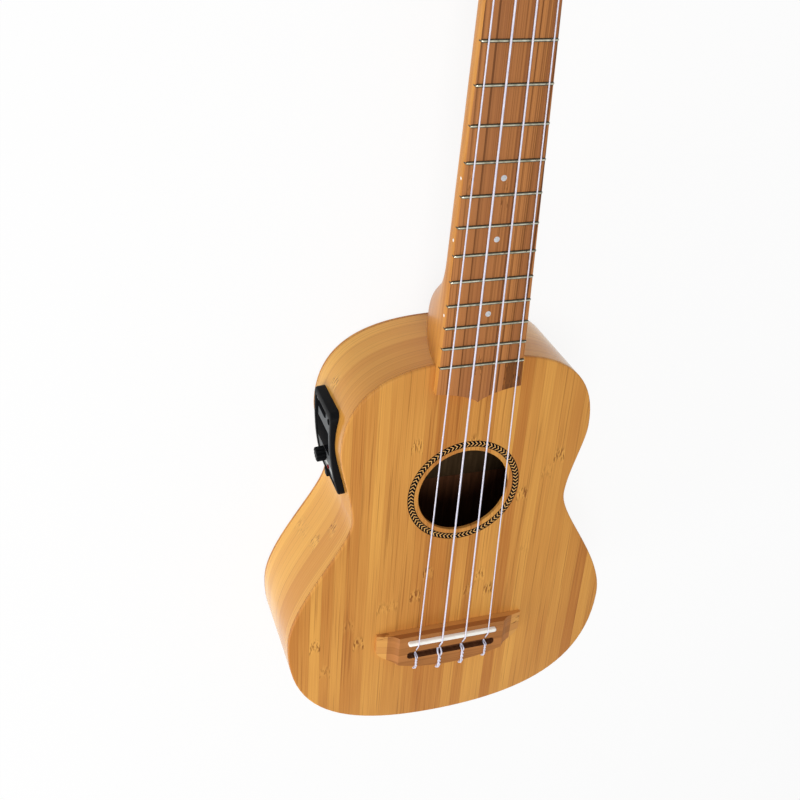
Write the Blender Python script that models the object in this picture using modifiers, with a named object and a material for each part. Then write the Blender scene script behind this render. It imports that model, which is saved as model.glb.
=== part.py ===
"""Bamboo soprano ukulele with a preamp in its bass side, as an assembly of its separate pieces.

Every piece is placed in the soundboard's frame: X to the treble side, Y towards the headstock from the
bridge end of the scale, Z up from the soundboard's upper face. One empty carries that frame and tilts it,
so that the flat back lies on the world's floor.
"""

import math

import bmesh
import bpy
from mathutils import Matrix, Vector
from mathutils.geometry import interpolate_bezier

# Scale and strings
SCALE_LENGTH = 0.345
FRET_COUNT = 12
NUT_STRING_SPREAD = 0.0285
SADDLE_STRING_SPREAD = 0.0413
STRING_NAMES = ("g_string", "c_string", "e_string", "a_string")
STRING_DIAMETERS = (0.00072, 0.00095, 0.00085, 0.00065)
ACTION_AT_TWELFTH = 0.0017

# Clearances
GLUE_LINE = 0.00012
FIT_GAP = 0.0003
RUNNING_GAP = 0.0001

# Body outline: half widths at the bouts, and how far each curve runs along its tangent
BUTT_LENGTH = 0.0647
LOWER_BOUT_WIDTH = 0.1844
LOWER_BOUT_Y = 0.005
WAIST_WIDTH = 0.119
WAIST_Y = 0.0824
UPPER_BOUT_WIDTH = 0.1346
UPPER_BOUT_Y = 0.1253
BUTT_REACH = 0.0509
LOWER_REACH_TO_BUTT = 0.0549
LOWER_REACH_TO_WAIST = 0.0281
WAIST_REACH_TO_BUTT = 0.016
WAIST_REACH_TO_NECK = 0.0143
UPPER_REACH_TO_WAIST = 0.0113
UPPER_REACH_TO_NECK = 0.0414
SHOULDER_REACH = 0.0332
OUTLINE_STEPS = 14

# Body box
DEPTH_AT_BUTT = 0.064
DEPTH_AT_NECK = 0.053
TOP_THICKNESS = 0.002
BACK_THICKNESS = 0.002
SIDE_THICKNESS = 0.0019
ARRIS_RADIUS = 0.0009
LINING_WIDTH = 0.005
LINING_HEIGHT = 0.006
NECK_BLOCK_WIDTH = 0.044
NECK_BLOCK_LENGTH = 0.018
TAIL_BLOCK_WIDTH = 0.05
TAIL_BLOCK_LENGTH = 0.014
BRACE_WIDTH = 0.006
TOP_BRACE_HEIGHT = 0.008
BACK_BRACE_HEIGHT = 0.009
BRACE_TO_ROSETTE = 0.004
UPPER_BACK_BRACE_Y = 0.118
LOWER_BACK_BRACE_Y = 0.008
PATCH_WIDTH = 0.07
PATCH_LENGTH = 0.026
PATCH_THICKNESS = 0.0016

# Soundhole and rosette
SOUNDHOLE_Y = 0.094
SOUNDHOLE_RADIUS = 0.0249
ROSETTE_MARGIN = 0.0028
ROSETTE_WIDTH = 0.0031
ROSETTE_DEPTH = 0.0008
HOLE_STEPS = 48

# Neck and heel
NUT_WIDTH = 0.034
TWELFTH_WIDTH = 0.044
NECK_DEPTH_AT_NUT = 0.0125
NECK_DEPTH_AT_BODY = 0.0135
NECK_SQUARE_SIDE = 0.0012
NECK_TRIM = 0.0018
HEEL_LENGTH = 0.04
HEEL_FULL_SHARE = 0.25
HEEL_TIP_WIDTH = 0.02
HEEL_TAPER = 1.2
HEEL_TO_BACK = 0.001
HEEL_BLUNTNESS = 0.7
HEEL_STATIONS = (0, 0.25, 0.36, 0.46, 0.55, 0.64, 0.74, 0.85, 1)
SECTION_STEPS = 14

# Fretboard, nut and frets
FRETBOARD_THICKNESS = 0.0045
FRETBOARD_OVERHANG = 0.015
FRETBOARD_POINT = 0.007
FRETBOARD_CORNER_REACH = (0.009, 0.0008)
FRETBOARD_POINT_REACH = (0.0036, 0.0035)
NUT_THICKNESS = 0.0045
NUT_WALL_HEIGHT = 0.001
FRET_HEIGHT = 0.0009
FRET_WIDTH = 0.002
FRET_TANG_DEPTH = 0.0018
FRET_TANG_THICKNESS = 0.0006
FRET_END_INSET = 0.0002
NUT_SLOT_ABOVE_FRET = 0.0003
DOT_FRETS = (5, 7, 10)
DOT_DIAMETER = 0.0028
DOT_THICKNESS = 0.0012

# Headstock and tuner places
HEAD_ANGLE = math.radians(9)
HEAD_LENGTH = 0.104
HEAD_THICKNESS = 0.0115
HEAD_LOWER_WIDTH = 0.05
HEAD_UPPER_WIDTH = 0.055
HEAD_LOWER_Y = 0.022
HEAD_UPPER_Y = 0.086
HEAD_FLARE_REACH = 0.011
HEAD_CORNER_REACH = 0.0108
HEAD_CROWN_REACH = 0.0165
HEAD_STEP = 0.0002
HEAD_BLEND = (0.006, 0.017)
HEAD_BLEND_DROP = 0.003
LOWER_POST_Y = 0.034
UPPER_POST_Y = 0.072
POST_FROM_EDGE = 0.008

# Tuner: a worm on the button's shaft drives a gear on the post
GEAR_TEETH = 12
GEAR_MODULE = 0.00075
GEAR_THICKNESS = 0.0022
TOOTH_ADDENDUM = 0.0006
TOOTH_FLANK_GAP = 0.0003
TOOTH_TIP_GAP = 0.0004
PRESSURE_ANGLE = math.radians(20)
WORM_PITCH_DIAMETER = 0.0048
WORM_TURNS = 3
WORM_STEPS = 12
THREAD_ROOT_RADIUS = 0.00091
SHAFT_DIAMETER = 0.0026
SHAFT_END_STANDS = 0.001
TUNER_PLATE_THICKNESS = 0.001
TUNER_PLATE_CORNER = 0.003
TUNER_PLATE_MARGIN = 0.0008
LUG_THICKNESS = 0.0014
LUG_WIDTH = 0.0046
POST_DIAMETER = 0.0058
POST_ABOVE_HEAD = 0.0095
WINDING_ABOVE_HEAD = 0.0025
WINDING_TURNS = 2.25
WINDING_STEPS = 24
WINDING_SPACING = 0.0007
POST_HOLE_DIAMETER = 0.0016
BUTTON_LENGTH = 0.012
BUTTON_WIDTH = 0.0135
BUTTON_THICKNESS = 0.0062
BUTTON_CLEAR_OF_HEAD = 0.002

# Bridge
BRIDGE_LENGTH = 0.0856
BRIDGE_FRONT = 0.0035
BRIDGE_END_REAR = 0.008
BRIDGE_BELLY = 0.021
BRIDGE_BELLY_REACH = 0.022
BRIDGE_CORNER_REACH = 0.0055
BRIDGE_TOP = 0.0067
BRIDGE_FLAT_LENGTH = 0.062
BRIDGE_WING_ROOT = 0.0033
BRIDGE_WING_LENGTH = 0.0058
BRIDGE_WING_TIP = 0.0019
BRIDGE_RAMP_FOOT_REACH = (0.0025, 0.0003)
BRIDGE_RAMP_HEAD_REACH = (0.0015, 0.0021)
SADDLE_COMPENSATION = 0.0009
SADDLE_LENGTH = 0.0522
SADDLE_THICKNESS = 0.0025
SADDLE_ROUND = 0.00075
SADDLE_SEAT = 0.0026
TIE_SLOT_FRONT = 0.0078
TIE_SLOT_WIDTH = 0.0038
TIE_SLOT_LENGTH = 0.052
TIE_SLOT_FLOOR = 0.003
TIE_HOLE_HEIGHT = 0.0043
STRING_GROOVE_GAP = 0.00025
GROOVE_SHARE = 0.9
PICKUP_THICKNESS = 0.0012
PICKUP_LEAD_DIAMETER = 0.0018
PICKUP_LEAD_X = -0.022

# Preamp in the bass side
PREAMP_LENGTH = 0.049
PREAMP_WIDTH = 0.033
PREAMP_Y = 0.1165
PREAMP_BELOW_TOP = 0.028
PREAMP_PROUD = 0.0024
PREAMP_SAG = 0.0026
PREAMP_RAIL = 0.0032
PREAMP_CORNER = 0.003
PREAMP_FACE_RECESS = 0.0014
PREAMP_DEPTH = 0.026
DISPLAY_LENGTH = 0.013
DISPLAY_WIDTH = 0.02
DISPLAY_FROM_CENTRE = 0.0125
DISPLAY_THICKNESS = 0.0009
KNOB_DIAMETER = 0.0105
KNOB_HEIGHT = 0.0075
KNOB_FLUTES = 10
KNOB_FLUTE_DEPTH = 0.0005
KNOB_FROM_CENTRE = -0.0065
KNOB_STEM_DIAMETER = 0.004
KNOB_STEM_LENGTH = 0.004
PUSH_SIZE = 0.0042
PUSH_FROM_CENTRE = -0.0185
PUSH_STANDS = 0.002
PUSH_TRAVEL = 0.001
PUSH_STEM_LENGTH = 0.003

# Output jack in the tail
JACK_BELOW_TOP = 0.031
JACK_BORE = 0.0066
JACK_BORE_DEPTH = 0.028
JACK_BARREL = 0.0098
JACK_FLANGE = 0.0165
JACK_FLANGE_THICKNESS = 0.003
JACK_BODY = 0.0118
JACK_BODY_LENGTH = 0.019
JACK_STEPS = 24
JACK_LEAD_DIAMETER = 0.002

# Leads inside the body: places along their routes
PICKUP_ROUTE = (
    (-0.0225, 0.002, -0.014),
    (-0.027, 0.016, -0.022),
    (-0.036, 0.042, -0.029),
    (-0.0405, 0.074, -0.03),
)
JACK_ROUTE = (
    (-0.026, 0.078, -0.044),
    (-0.016, 0.046, -0.052),
    (-0.007, 0.022, -0.047),
    (-0.002, -0.004, -0.04),
)
LEAD_EXIT = 0.006
LEAD_STEPS = 5
LEAD_BEVEL_STEPS = 1
LEAD_ENTRY_SPACING = 0.008

# How finely round things are made
CURVE_STEPS = 8
RAMP_STEPS = 5
BOW_STEPS = 6
CROWN_STEPS = 6
POST_STEPS = 20
PIN_STEPS = 16
SHAFT_STEPS = 12
BUTTON_STEPS = 14
STRING_HOLE_STEPS = 10
STRING_BEVEL_STEPS = 1
ARRIS_STEPS = 2
WELD = 1e-6


def clear_scene():
    for thing in list(bpy.data.objects):
        bpy.data.objects.remove(thing)


def collection(name):
    group = bpy.data.collections.new(name)
    bpy.context.scene.collection.children.link(group)
    return group


def linear(channel):
    return channel / 12.92 if channel <= 0.04045 else ((channel + 0.055) / 1.055) ** 2.4


def finish(name, srgb, roughness, metallic=0.0):
    material = bpy.data.materials.new(name)
    material.use_nodes = True
    shader = material.node_tree.nodes["Principled BSDF"]
    red, green, blue = (linear(int(srgb[i : i + 2], 16) / 255) for i in (0, 2, 4))
    shader.inputs["Base Color"].default_value = (red, green, blue, 1)
    shader.inputs["Roughness"].default_value = roughness
    shader.inputs["Metallic"].default_value = metallic
    return material


def add_part(name, mesh, material, parent=None):
    part = bpy.data.objects.new(name, mesh)
    PARTS.objects.link(part)
    part.parent = parent or FRAME
    if not mesh.materials:
        mesh.materials.append(material)
    return part


def add_cutter(name, mesh, parent=None):
    cutter = bpy.data.objects.new(name, mesh)
    CUTTERS.objects.link(cutter)
    cutter.parent = parent or FRAME
    cutter.hide_render = True
    cutter.display_type = "WIRE"
    return cutter


def boolean(part, cutter, operation="DIFFERENCE"):
    step = part.modifiers.new(cutter.name, "BOOLEAN")
    step.operation = operation
    step.object = cutter


def mesh_of(name, bm):
    bmesh.ops.recalc_face_normals(bm, faces=bm.faces)
    mesh = bpy.data.meshes.new(name)
    bm.to_mesh(mesh)
    bm.free()
    return mesh


def shade_smooth(mesh, angle=math.radians(35)):
    mesh.shade_smooth()
    mesh.set_sharp_from_angle(angle=angle)
    return mesh


def curve_mesh(curve, place=Matrix()):
    """The mesh of a curve with its caps welded on, moved by place. The curve is removed."""
    guide = bpy.data.objects.new(curve.name, curve)
    bpy.context.scene.collection.objects.link(guide)
    graph = bpy.context.evaluated_depsgraph_get()
    mesh = bpy.data.meshes.new_from_object(guide.evaluated_get(graph))
    name = curve.name
    bpy.data.objects.remove(guide)
    bpy.data.curves.remove(curve)
    bm = bmesh.new()
    bm.from_mesh(mesh)
    bpy.data.meshes.remove(mesh)
    bmesh.ops.remove_doubles(bm, verts=bm.verts, dist=WELD)
    bmesh.ops.transform(bm, matrix=place, verts=bm.verts)
    return mesh_of(name, bm)


def plate(name, loops, bottom, top):
    """A flat plate between two heights. The first loop is its outline, and the others are holes."""
    curve = bpy.data.curves.new(name, "CURVE")
    curve.dimensions = "2D"
    curve.fill_mode = "BOTH"
    curve.extrude = (top - bottom) / 2
    for loop in loops:
        spline = curve.splines.new("POLY")
        spline.points.add(len(loop) - 1)
        for point, (x, y) in zip(spline.points, loop):
            point.co = (x, y, 0, 1)
        spline.use_cyclic_u = True
    return curve_mesh(curve, Matrix.Translation((0, 0, (top + bottom) / 2)))


def tube(name, route, diameter, roundness):
    """A round cord along a route, with closed ends."""
    curve = bpy.data.curves.new(name, "CURVE")
    curve.dimensions = "3D"
    curve.bevel_depth = diameter / 2
    curve.bevel_resolution = roundness
    curve.use_fill_caps = True
    spline = curve.splines.new("POLY")
    spline.points.add(len(route) - 1)
    for point, place in zip(spline.points, route):
        point.co = (*place, 1)
    return shade_smooth(curve_mesh(curve))


def sliced(mesh, point, outward):
    """Takes away what lies beyond a plane and closes the cut."""
    bm = bmesh.new()
    bm.from_mesh(mesh)
    everything = [*bm.verts, *bm.edges, *bm.faces]
    cut = bmesh.ops.bisect_plane(
        bm, geom=everything, dist=WELD / 10, plane_co=point, plane_no=outward, clear_outer=True
    )
    rim = [item for item in cut["geom_cut"] if isinstance(item, bmesh.types.BMEdge)]
    bmesh.ops.triangle_fill(bm, use_beauty=True, edges=rim)
    bmesh.ops.recalc_face_normals(bm, faces=bm.faces)
    bm.to_mesh(mesh)
    bm.free()
    return mesh


def box(name, low, high):
    low, high = Vector(low), Vector(high)
    bm = bmesh.new()
    bmesh.ops.create_cube(bm, size=1)
    bmesh.ops.scale(bm, vec=high - low, verts=bm.verts)
    bmesh.ops.translate(bm, vec=(low + high) / 2, verts=bm.verts)
    return mesh_of(name, bm)


def add_rod(bm, start, end, radius, steps):
    start, end = Vector(start), Vector(end)
    turn = Vector((0, 0, 1)).rotation_difference(end - start).to_matrix().to_4x4()
    bmesh.ops.create_cone(
        bm,
        cap_ends=True,
        segments=steps,
        radius1=radius,
        radius2=radius,
        depth=(end - start).length,
        matrix=Matrix.Translation((start + end) / 2) @ turn,
    )


def rods(name, ends, radius, steps):
    """Round bars of one radius in one mesh, each between two points."""
    bm = bmesh.new()
    for start, end in ends:
        add_rod(bm, start, end, radius, steps)
    return shade_smooth(mesh_of(name, bm))


def circle(radius, steps, centre=(0, 0)):
    turns = [2 * math.pi * i / steps for i in range(steps)]
    return [(centre[0] + radius * math.cos(a), centre[1] + radius * math.sin(a)) for a in turns]


def rounded_rectangle(width, length, corner, centre=(0, 0), steps=4):
    loop = []
    for quarter, (sx, sy) in enumerate(((1, 1), (-1, 1), (-1, -1), (1, -1))):
        for i in range(steps + 1):
            angle = math.pi / 2 * (quarter + i / steps)
            x = centre[0] + sx * (width / 2 - corner) + corner * math.cos(angle)
            loop.append((x, centre[1] + sy * (length / 2 - corner) + corner * math.sin(angle)))
    return loop


def bezier_chain(knots, steps):
    """Points along knots of (place, handle back, handle on), each handle an offset from its place."""
    points = []
    for (start, _, leave), (end, arrive, _) in zip(knots, knots[1:]):
        a, b = Vector((*start, 0)), Vector((*end, 0))
        span = interpolate_bezier(a, a + Vector((*leave, 0)), b + Vector((*arrive, 0)), b, steps + 1)
        points += [(p.x, p.y) for p in span[:-1]]
    return points + [tuple(knots[-1][0])]


def mirrored_loop(half):
    """Closes a half outline that runs up the +X side from the centre line to the centre line."""
    return half + [(-x, y) for x, y in reversed(half[1:-1])]


def smooth_route(places, steps):
    """Points on a smooth curve through the places, which it starts and ends on."""
    places = [Vector(p) for p in places]
    points = [places[0]]
    for i in range(len(places) - 1):
        before, after = places[max(i - 1, 0)], places[min(i + 2, len(places) - 1)]
        start, end = places[i], places[i + 1]
        leave, arrive = (end - before) / 6, (after - start) / 6
        points += interpolate_bezier(start, start + leave, end - arrive, end, steps + 1)[1:]
    return points


# Places that several pieces share
Z_AXIS = Vector((0, 0, 1))
NECK_JOIN = SCALE_LENGTH / 2
BACK_SLOPE = (DEPTH_AT_BUTT - DEPTH_AT_NECK) / (BUTT_LENGTH + NECK_JOIN)
BACK_TILT = math.atan(BACK_SLOPE)
BACK_NORMAL = Vector((0, math.sin(BACK_TILT), -math.cos(BACK_TILT)))
BACK_CENTRE_Y = (NECK_JOIN - BUTT_LENGTH) / 2
FRETBOARD_TOP = GLUE_LINE + FRETBOARD_THICKNESS
FRET_TOP = FRETBOARD_TOP + GLUE_LINE + FRET_HEIGHT
NUT_SLOT = FRET_TOP + NUT_SLOT_ABOVE_FRET
NUT_TOP = NUT_SLOT + NUT_WALL_HEIGHT
SADDLE_TOP = 2 * (FRET_TOP + ACTION_AT_TWELFTH) - NUT_SLOT
SADDLE_Y = -SADDLE_COMPENSATION
HEAD_Y = SCALE_LENGTH + NUT_THICKNESS
HEAD_PLACE = Matrix.Translation((0, HEAD_Y, -HEAD_STEP)) @ Matrix.Rotation(-HEAD_ANGLE, 4, "X")
LINING_INSET = SIDE_THICKNESS + GLUE_LINE
CAVITY_INSET = LINING_INSET + LINING_WIDTH
TOP_UNDERSIDE = -TOP_THICKNESS - GLUE_LINE
ROSETTE_INNER = SOUNDHOLE_RADIUS + ROSETTE_MARGIN
ROSETTE_OUTER = ROSETTE_INNER + ROSETTE_WIDTH
NECK_BLOCK_FACE = NECK_JOIN - NECK_BLOCK_LENGTH
TAIL_BLOCK_FACE = TAIL_BLOCK_LENGTH - BUTT_LENGTH


def back_height(y, above=0.0):
    """Height of the back's outer face at y, or of the plane that lies above it by a distance."""
    return -DEPTH_AT_BUTT + BACK_SLOPE * (y + BUTT_LENGTH) + above / math.cos(BACK_TILT)


def cut_at_back(mesh, above):
    return sliced(mesh, (0, 0, back_height(0, above)), BACK_NORMAL)


def body_loop(inset=0.0):
    """The body's outline, moved inwards by a distance."""
    lower, waist, upper = LOWER_BOUT_WIDTH / 2, WAIST_WIDTH / 2, UPPER_BOUT_WIDTH / 2
    knots = [
        ((0, -BUTT_LENGTH), (0, 0), (BUTT_REACH, 0)),
        ((lower, LOWER_BOUT_Y), (0, -LOWER_REACH_TO_BUTT), (0, LOWER_REACH_TO_WAIST)),
        ((waist, WAIST_Y), (0, -WAIST_REACH_TO_BUTT), (0, WAIST_REACH_TO_NECK)),
        ((upper, UPPER_BOUT_Y), (0, -UPPER_REACH_TO_WAIST), (0, UPPER_REACH_TO_NECK)),
        ((0, NECK_JOIN), (SHOULDER_REACH, 0), (0, 0)),
    ]
    loop = [Vector(p) for p in mirrored_loop(bezier_chain(knots, OUTLINE_STEPS))]
    moved = []
    for i, place in enumerate(loop):
        along = (loop[(i + 1) % len(loop)] - loop[i - 1]).normalized()
        moved.append((place.x - inset * along.y, place.y + inset * along.x))
    return moved


def reach_at(outline, y):
    """How far a half outline lies from the centre line at y."""
    for (x0, y0), (x1, y1) in zip(outline, outline[1:]):
        if y0 <= y <= y1:
            return x0 + (x1 - x0) * (y - y0) / (y1 - y0)
    return 0.0


def half_width_at(y, inset=0.0):
    return reach_at(body_loop(inset)[: 4 * OUTLINE_STEPS + 1], y)


def fretboard_width(y):
    return NUT_WIDTH + (TWELFTH_WIDTH - NUT_WIDTH) * (SCALE_LENGTH - y) / (SCALE_LENGTH - NECK_JOIN)


def fret_y(number):
    return SCALE_LENGTH * 2 ** (-number / 12)


def string_x(index, spread):
    last = len(STRING_NAMES) - 1
    return spread * (index / last - 0.5)


def round_rim(mesh, point, normal, radius):
    """Rounds the edge of the face that lies in a plane."""
    bm = bmesh.new()
    bm.from_mesh(mesh)
    face_verts = [v for v in bm.verts if abs((v.co - Vector(point)).dot(normal)) < WELD]
    rim = [
        edge
        for edge in bm.edges
        if all(v in face_verts for v in edge.verts)
        and any(abs(face.normal.dot(normal)) < 0.5 for face in edge.link_faces)
    ]
    bmesh.ops.bevel(
        bm, geom=rim, offset=radius, segments=ARRIS_STEPS, profile=0.5, affect="EDGES", material=-1
    )
    bm.to_mesh(mesh)
    bm.free()
    return mesh


def soundhole_rings(*radii):
    return [circle(radius, HOLE_STEPS, (0, SOUNDHOLE_Y)) for radius in radii]


def make_soundboard():
    mesh = plate("soundboard", [body_loop()], -TOP_THICKNESS, 0)
    board = add_part("soundboard", round_rim(mesh, (0, 0, 0), Z_AXIS, ARRIS_RADIUS), BAMBOO_TOP)
    hole = plate("soundhole", soundhole_rings(SOUNDHOLE_RADIUS), -2 * TOP_THICKNESS, TOP_THICKNESS)
    boolean(board, add_cutter("soundhole", hole))
    rings = soundhole_rings(ROSETTE_OUTER, ROSETTE_INNER)
    channel = plate("rosette_channel", rings, -ROSETTE_DEPTH - GLUE_LINE, ROSETTE_DEPTH)
    boolean(board, add_cutter("rosette_channel", channel))
    boolean(board, pickup_lead_hole())


def make_rosette():
    rings = soundhole_rings(ROSETTE_OUTER - GLUE_LINE, ROSETTE_INNER + GLUE_LINE)
    add_part("rosette", plate("rosette", rings, -ROSETTE_DEPTH, 0), ROSETTE_INLAY)


def make_back():
    """The back: a slab of the body's outline, cut by two planes along the tilt, with its arris rounded."""
    low, high = -DEPTH_AT_BUTT - BACK_THICKNESS, -DEPTH_AT_NECK + 2 * BACK_THICKNESS
    mesh = plate("back_plate", [body_loop()], low, high)
    cut_at_back(mesh, 0)
    sliced(mesh, (0, 0, back_height(0, BACK_THICKNESS)), -BACK_NORMAL)
    round_rim(mesh, (0, 0, back_height(0)), BACK_NORMAL, ARRIS_RADIUS)
    add_part("back_plate", mesh, BAMBOO_BACK)


def make_sides():
    ring = [body_loop(), body_loop(SIDE_THICKNESS)]
    for name, hand in (("bass_side", -1), ("treble_side", 1)):
        mesh = plate(name, ring, -DEPTH_AT_BUTT, TOP_UNDERSIDE)
        sliced(mesh, (hand * GLUE_LINE / 2, 0, 0), (-hand, 0, 0))
        cut_at_back(mesh, BACK_THICKNESS + GLUE_LINE)
        side = add_part(name, shade_smooth(mesh), BAMBOO_SIDE)
        boolean(side, JACK_HOLE)
        if hand < 0:
            boolean(side, PREAMP_HOLE)


def make_linings():
    ring = [body_loop(LINING_INSET), body_loop(CAVITY_INSET)]
    floor = BACK_THICKNESS + 2 * GLUE_LINE
    for edge in ("top", "back"):
        for name, hand in (("bass", -1), ("treble", 1)):
            label = f"{name}_{edge}_lining"
            mesh = plate(label, ring, -DEPTH_AT_BUTT, TOP_UNDERSIDE - GLUE_LINE)
            sliced(mesh, (0, 0, 0), (-hand, 0, 0))
            sliced(mesh, (0, NECK_BLOCK_FACE - FIT_GAP, 0), (0, 1, 0))
            sliced(mesh, (0, TAIL_BLOCK_FACE + FIT_GAP, 0), (0, -1, 0))
            if edge == "top":
                sliced(mesh, (0, 0, TOP_UNDERSIDE - LINING_HEIGHT), (0, 0, -1))
            else:
                cut_at_back(mesh, floor)
                sliced(mesh, (0, 0, back_height(0, floor + LINING_HEIGHT)), -BACK_NORMAL)
            add_part(label, shade_smooth(mesh), SPRUCE)


def make_block(name, width, face, outward):
    mesh = plate(name, [body_loop(LINING_INSET)], -DEPTH_AT_BUTT, TOP_UNDERSIDE - GLUE_LINE)
    sliced(mesh, (0, face, 0), (0, outward, 0))
    for hand in (-1, 1):
        sliced(mesh, (hand * width / 2, 0, 0), (hand, 0, 0))
    cut_at_back(mesh, BACK_THICKNESS + 2 * GLUE_LINE)
    return add_part(name, mesh, SPRUCE)


def make_blocks():
    make_block("neck_block", NECK_BLOCK_WIDTH, NECK_BLOCK_FACE, -1)
    boolean(make_block("tail_block", TAIL_BLOCK_WIDTH, TAIL_BLOCK_FACE, 1), JACK_HOLE)


def brace_half_length(y):
    ends = [half_width_at(y + step * BRACE_WIDTH / 2, CAVITY_INSET) for step in (-1, 0, 1)]
    return min(ends) - FIT_GAP


def make_braces():
    reach = ROSETTE_OUTER + BRACE_TO_ROSETTE + BRACE_WIDTH / 2
    top = TOP_UNDERSIDE
    for name, y in (("upper_top_brace", SOUNDHOLE_Y + reach), ("lower_top_brace", SOUNDHOLE_Y - reach)):
        half = brace_half_length(y)
        low = (-half, y - BRACE_WIDTH / 2, top - TOP_BRACE_HEIGHT)
        add_part(name, box(name, low, (half, y + BRACE_WIDTH / 2, top)), SPRUCE)
    for name, y in (("upper_back_brace", UPPER_BACK_BRACE_Y), ("lower_back_brace", LOWER_BACK_BRACE_Y)):
        half = brace_half_length(y)
        mesh = box(name, (-half, -BRACE_WIDTH / 2, GLUE_LINE), (half, BRACE_WIDTH / 2, BACK_BRACE_HEIGHT))
        brace = add_part(name, mesh, SPRUCE)
        brace.location = (0, y, back_height(y, BACK_THICKNESS))
        brace.rotation_euler.x = BACK_TILT


def make_bridge_patch():
    middle = (BRIDGE_FRONT - BRIDGE_BELLY) / 2
    top = TOP_UNDERSIDE
    low = (-PATCH_WIDTH / 2, middle - PATCH_LENGTH / 2, top - PATCH_THICKNESS)
    mesh = box("bridge_patch", low, (PATCH_WIDTH / 2, middle + PATCH_LENGTH / 2, top))
    boolean(add_part("bridge_patch", mesh, SPRUCE), pickup_lead_hole())


def pickup_lead_hole():
    """The hole for the pickup's lead, through bridge, soundboard and patch."""
    if "pickup_lead_hole" in bpy.data.objects:
        return bpy.data.objects["pickup_lead_hole"]
    top = (PICKUP_LEAD_X, SADDLE_Y, SADDLE_SEAT + PICKUP_THICKNESS)
    bottom = (PICKUP_LEAD_X, SADDLE_Y, TOP_UNDERSIDE - 2 * PATCH_THICKNESS)
    radius = PICKUP_LEAD_DIAMETER / 2 + FIT_GAP
    return add_cutter("pickup_lead_hole", rods("pickup_lead_hole", [(top, bottom)], radius, SHAFT_STEPS))


def body_cope():
    """The body's outside, a glue line larger, which shapes what is fastened against the sides."""
    if "body_cope" in bpy.data.objects:
        return bpy.data.objects["body_cope"]
    mesh = plate("body_cope", [body_loop(-GLUE_LINE)], -2 * DEPTH_AT_BUTT, DEPTH_AT_BUTT)
    return add_cutter("body_cope", mesh)


def heel_share(y):
    """How much of the heel a cross-section has: all of it by the body, then less along a soft curve."""
    along = (y - NECK_JOIN) / HEEL_LENGTH
    fall = min(max((along - HEEL_FULL_SHARE) / (1 - HEEL_FULL_SHARE), 0), 1)
    return 1 - fall**2 * (3 - 2 * fall)


def neck_section(y, top=0.0, depth=None):
    """One cross-section of the neck: square sides under the fretboard, then a round or a heel."""
    half = fretboard_width(y) / 2
    along = (y - NECK_JOIN) / (HEAD_Y - NECK_JOIN)
    shaft = NECK_DEPTH_AT_BODY + (NECK_DEPTH_AT_NUT - NECK_DEPTH_AT_BODY) * min(max(along, 0), 1)
    heel = heel_share(y)
    heel_depth = DEPTH_AT_NECK - HEEL_TO_BACK
    deep = depth or shaft + (heel_depth - shaft) * heel
    bluntness = 1 - HEEL_BLUNTNESS * heel**2
    side = top - NECK_SQUARE_SIDE
    ring = [(half, y, top)]
    for i in range(SECTION_STEPS + 1):
        turn = math.pi * i / SECTION_STEPS
        z = side - (deep + side) * math.sin(turn)
        drop = (side - z) / heel_depth
        heel_half = HEEL_TIP_WIDTH / 2 + (half - HEEL_TIP_WIDTH / 2) * max(0, 1 - drop) ** HEEL_TAPER
        wide = half + (heel_half - half) * heel
        cosine = math.cos(turn)
        ring.append((wide * math.copysign(abs(cosine) ** bluntness, cosine), y, z))
    return ring + [(-half, y, top)]


def loft(name, rings):
    """A closed skin over cross-sections that have as many points each."""
    bm = bmesh.new()
    rows = [[bm.verts.new(p) for p in ring] for ring in rings]
    for row, following in zip(rows, rows[1:]):
        for i in range(len(row)):
            j = (i + 1) % len(row)
            bm.faces.new((row[i], row[j], following[j], following[i]))
    bm.faces.new(rows[0])
    bm.faces.new(rows[-1])
    return shade_smooth(mesh_of(name, bm))


def head_half():
    """The headstock's treble edge in its own plane, from the nut to a softly arched end."""
    root, lower, upper = fretboard_width(HEAD_Y) / 2, HEAD_LOWER_WIDTH / 2, HEAD_UPPER_WIDTH / 2
    flare = HEAD_FLARE_REACH
    knots = [
        ((root, 0), (0, 0), (0, flare)),
        ((lower, HEAD_LOWER_Y), (0, -flare), (0, flare)),
        ((upper, HEAD_UPPER_Y), (0, -flare), (0, HEAD_CORNER_REACH)),
        ((0, HEAD_LENGTH), (HEAD_CROWN_REACH, 0), (0, 0)),
    ]
    return bezier_chain(knots, CURVE_STEPS)


def post_place(hand, y):
    """Where a post stands on the headstock's face, a set distance in from the edge."""
    return Vector((hand * (reach_at(head_half(), y) - POST_FROM_EDGE), y, 0))


def posts():
    """The posts in string order: the outer strings go to the posts by the nut."""
    return [
        (-1, post_place(-1, LOWER_POST_Y)),
        (-1, post_place(-1, UPPER_POST_Y)),
        (1, post_place(1, UPPER_POST_Y)),
        (1, post_place(1, LOWER_POST_Y)),
    ]


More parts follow.
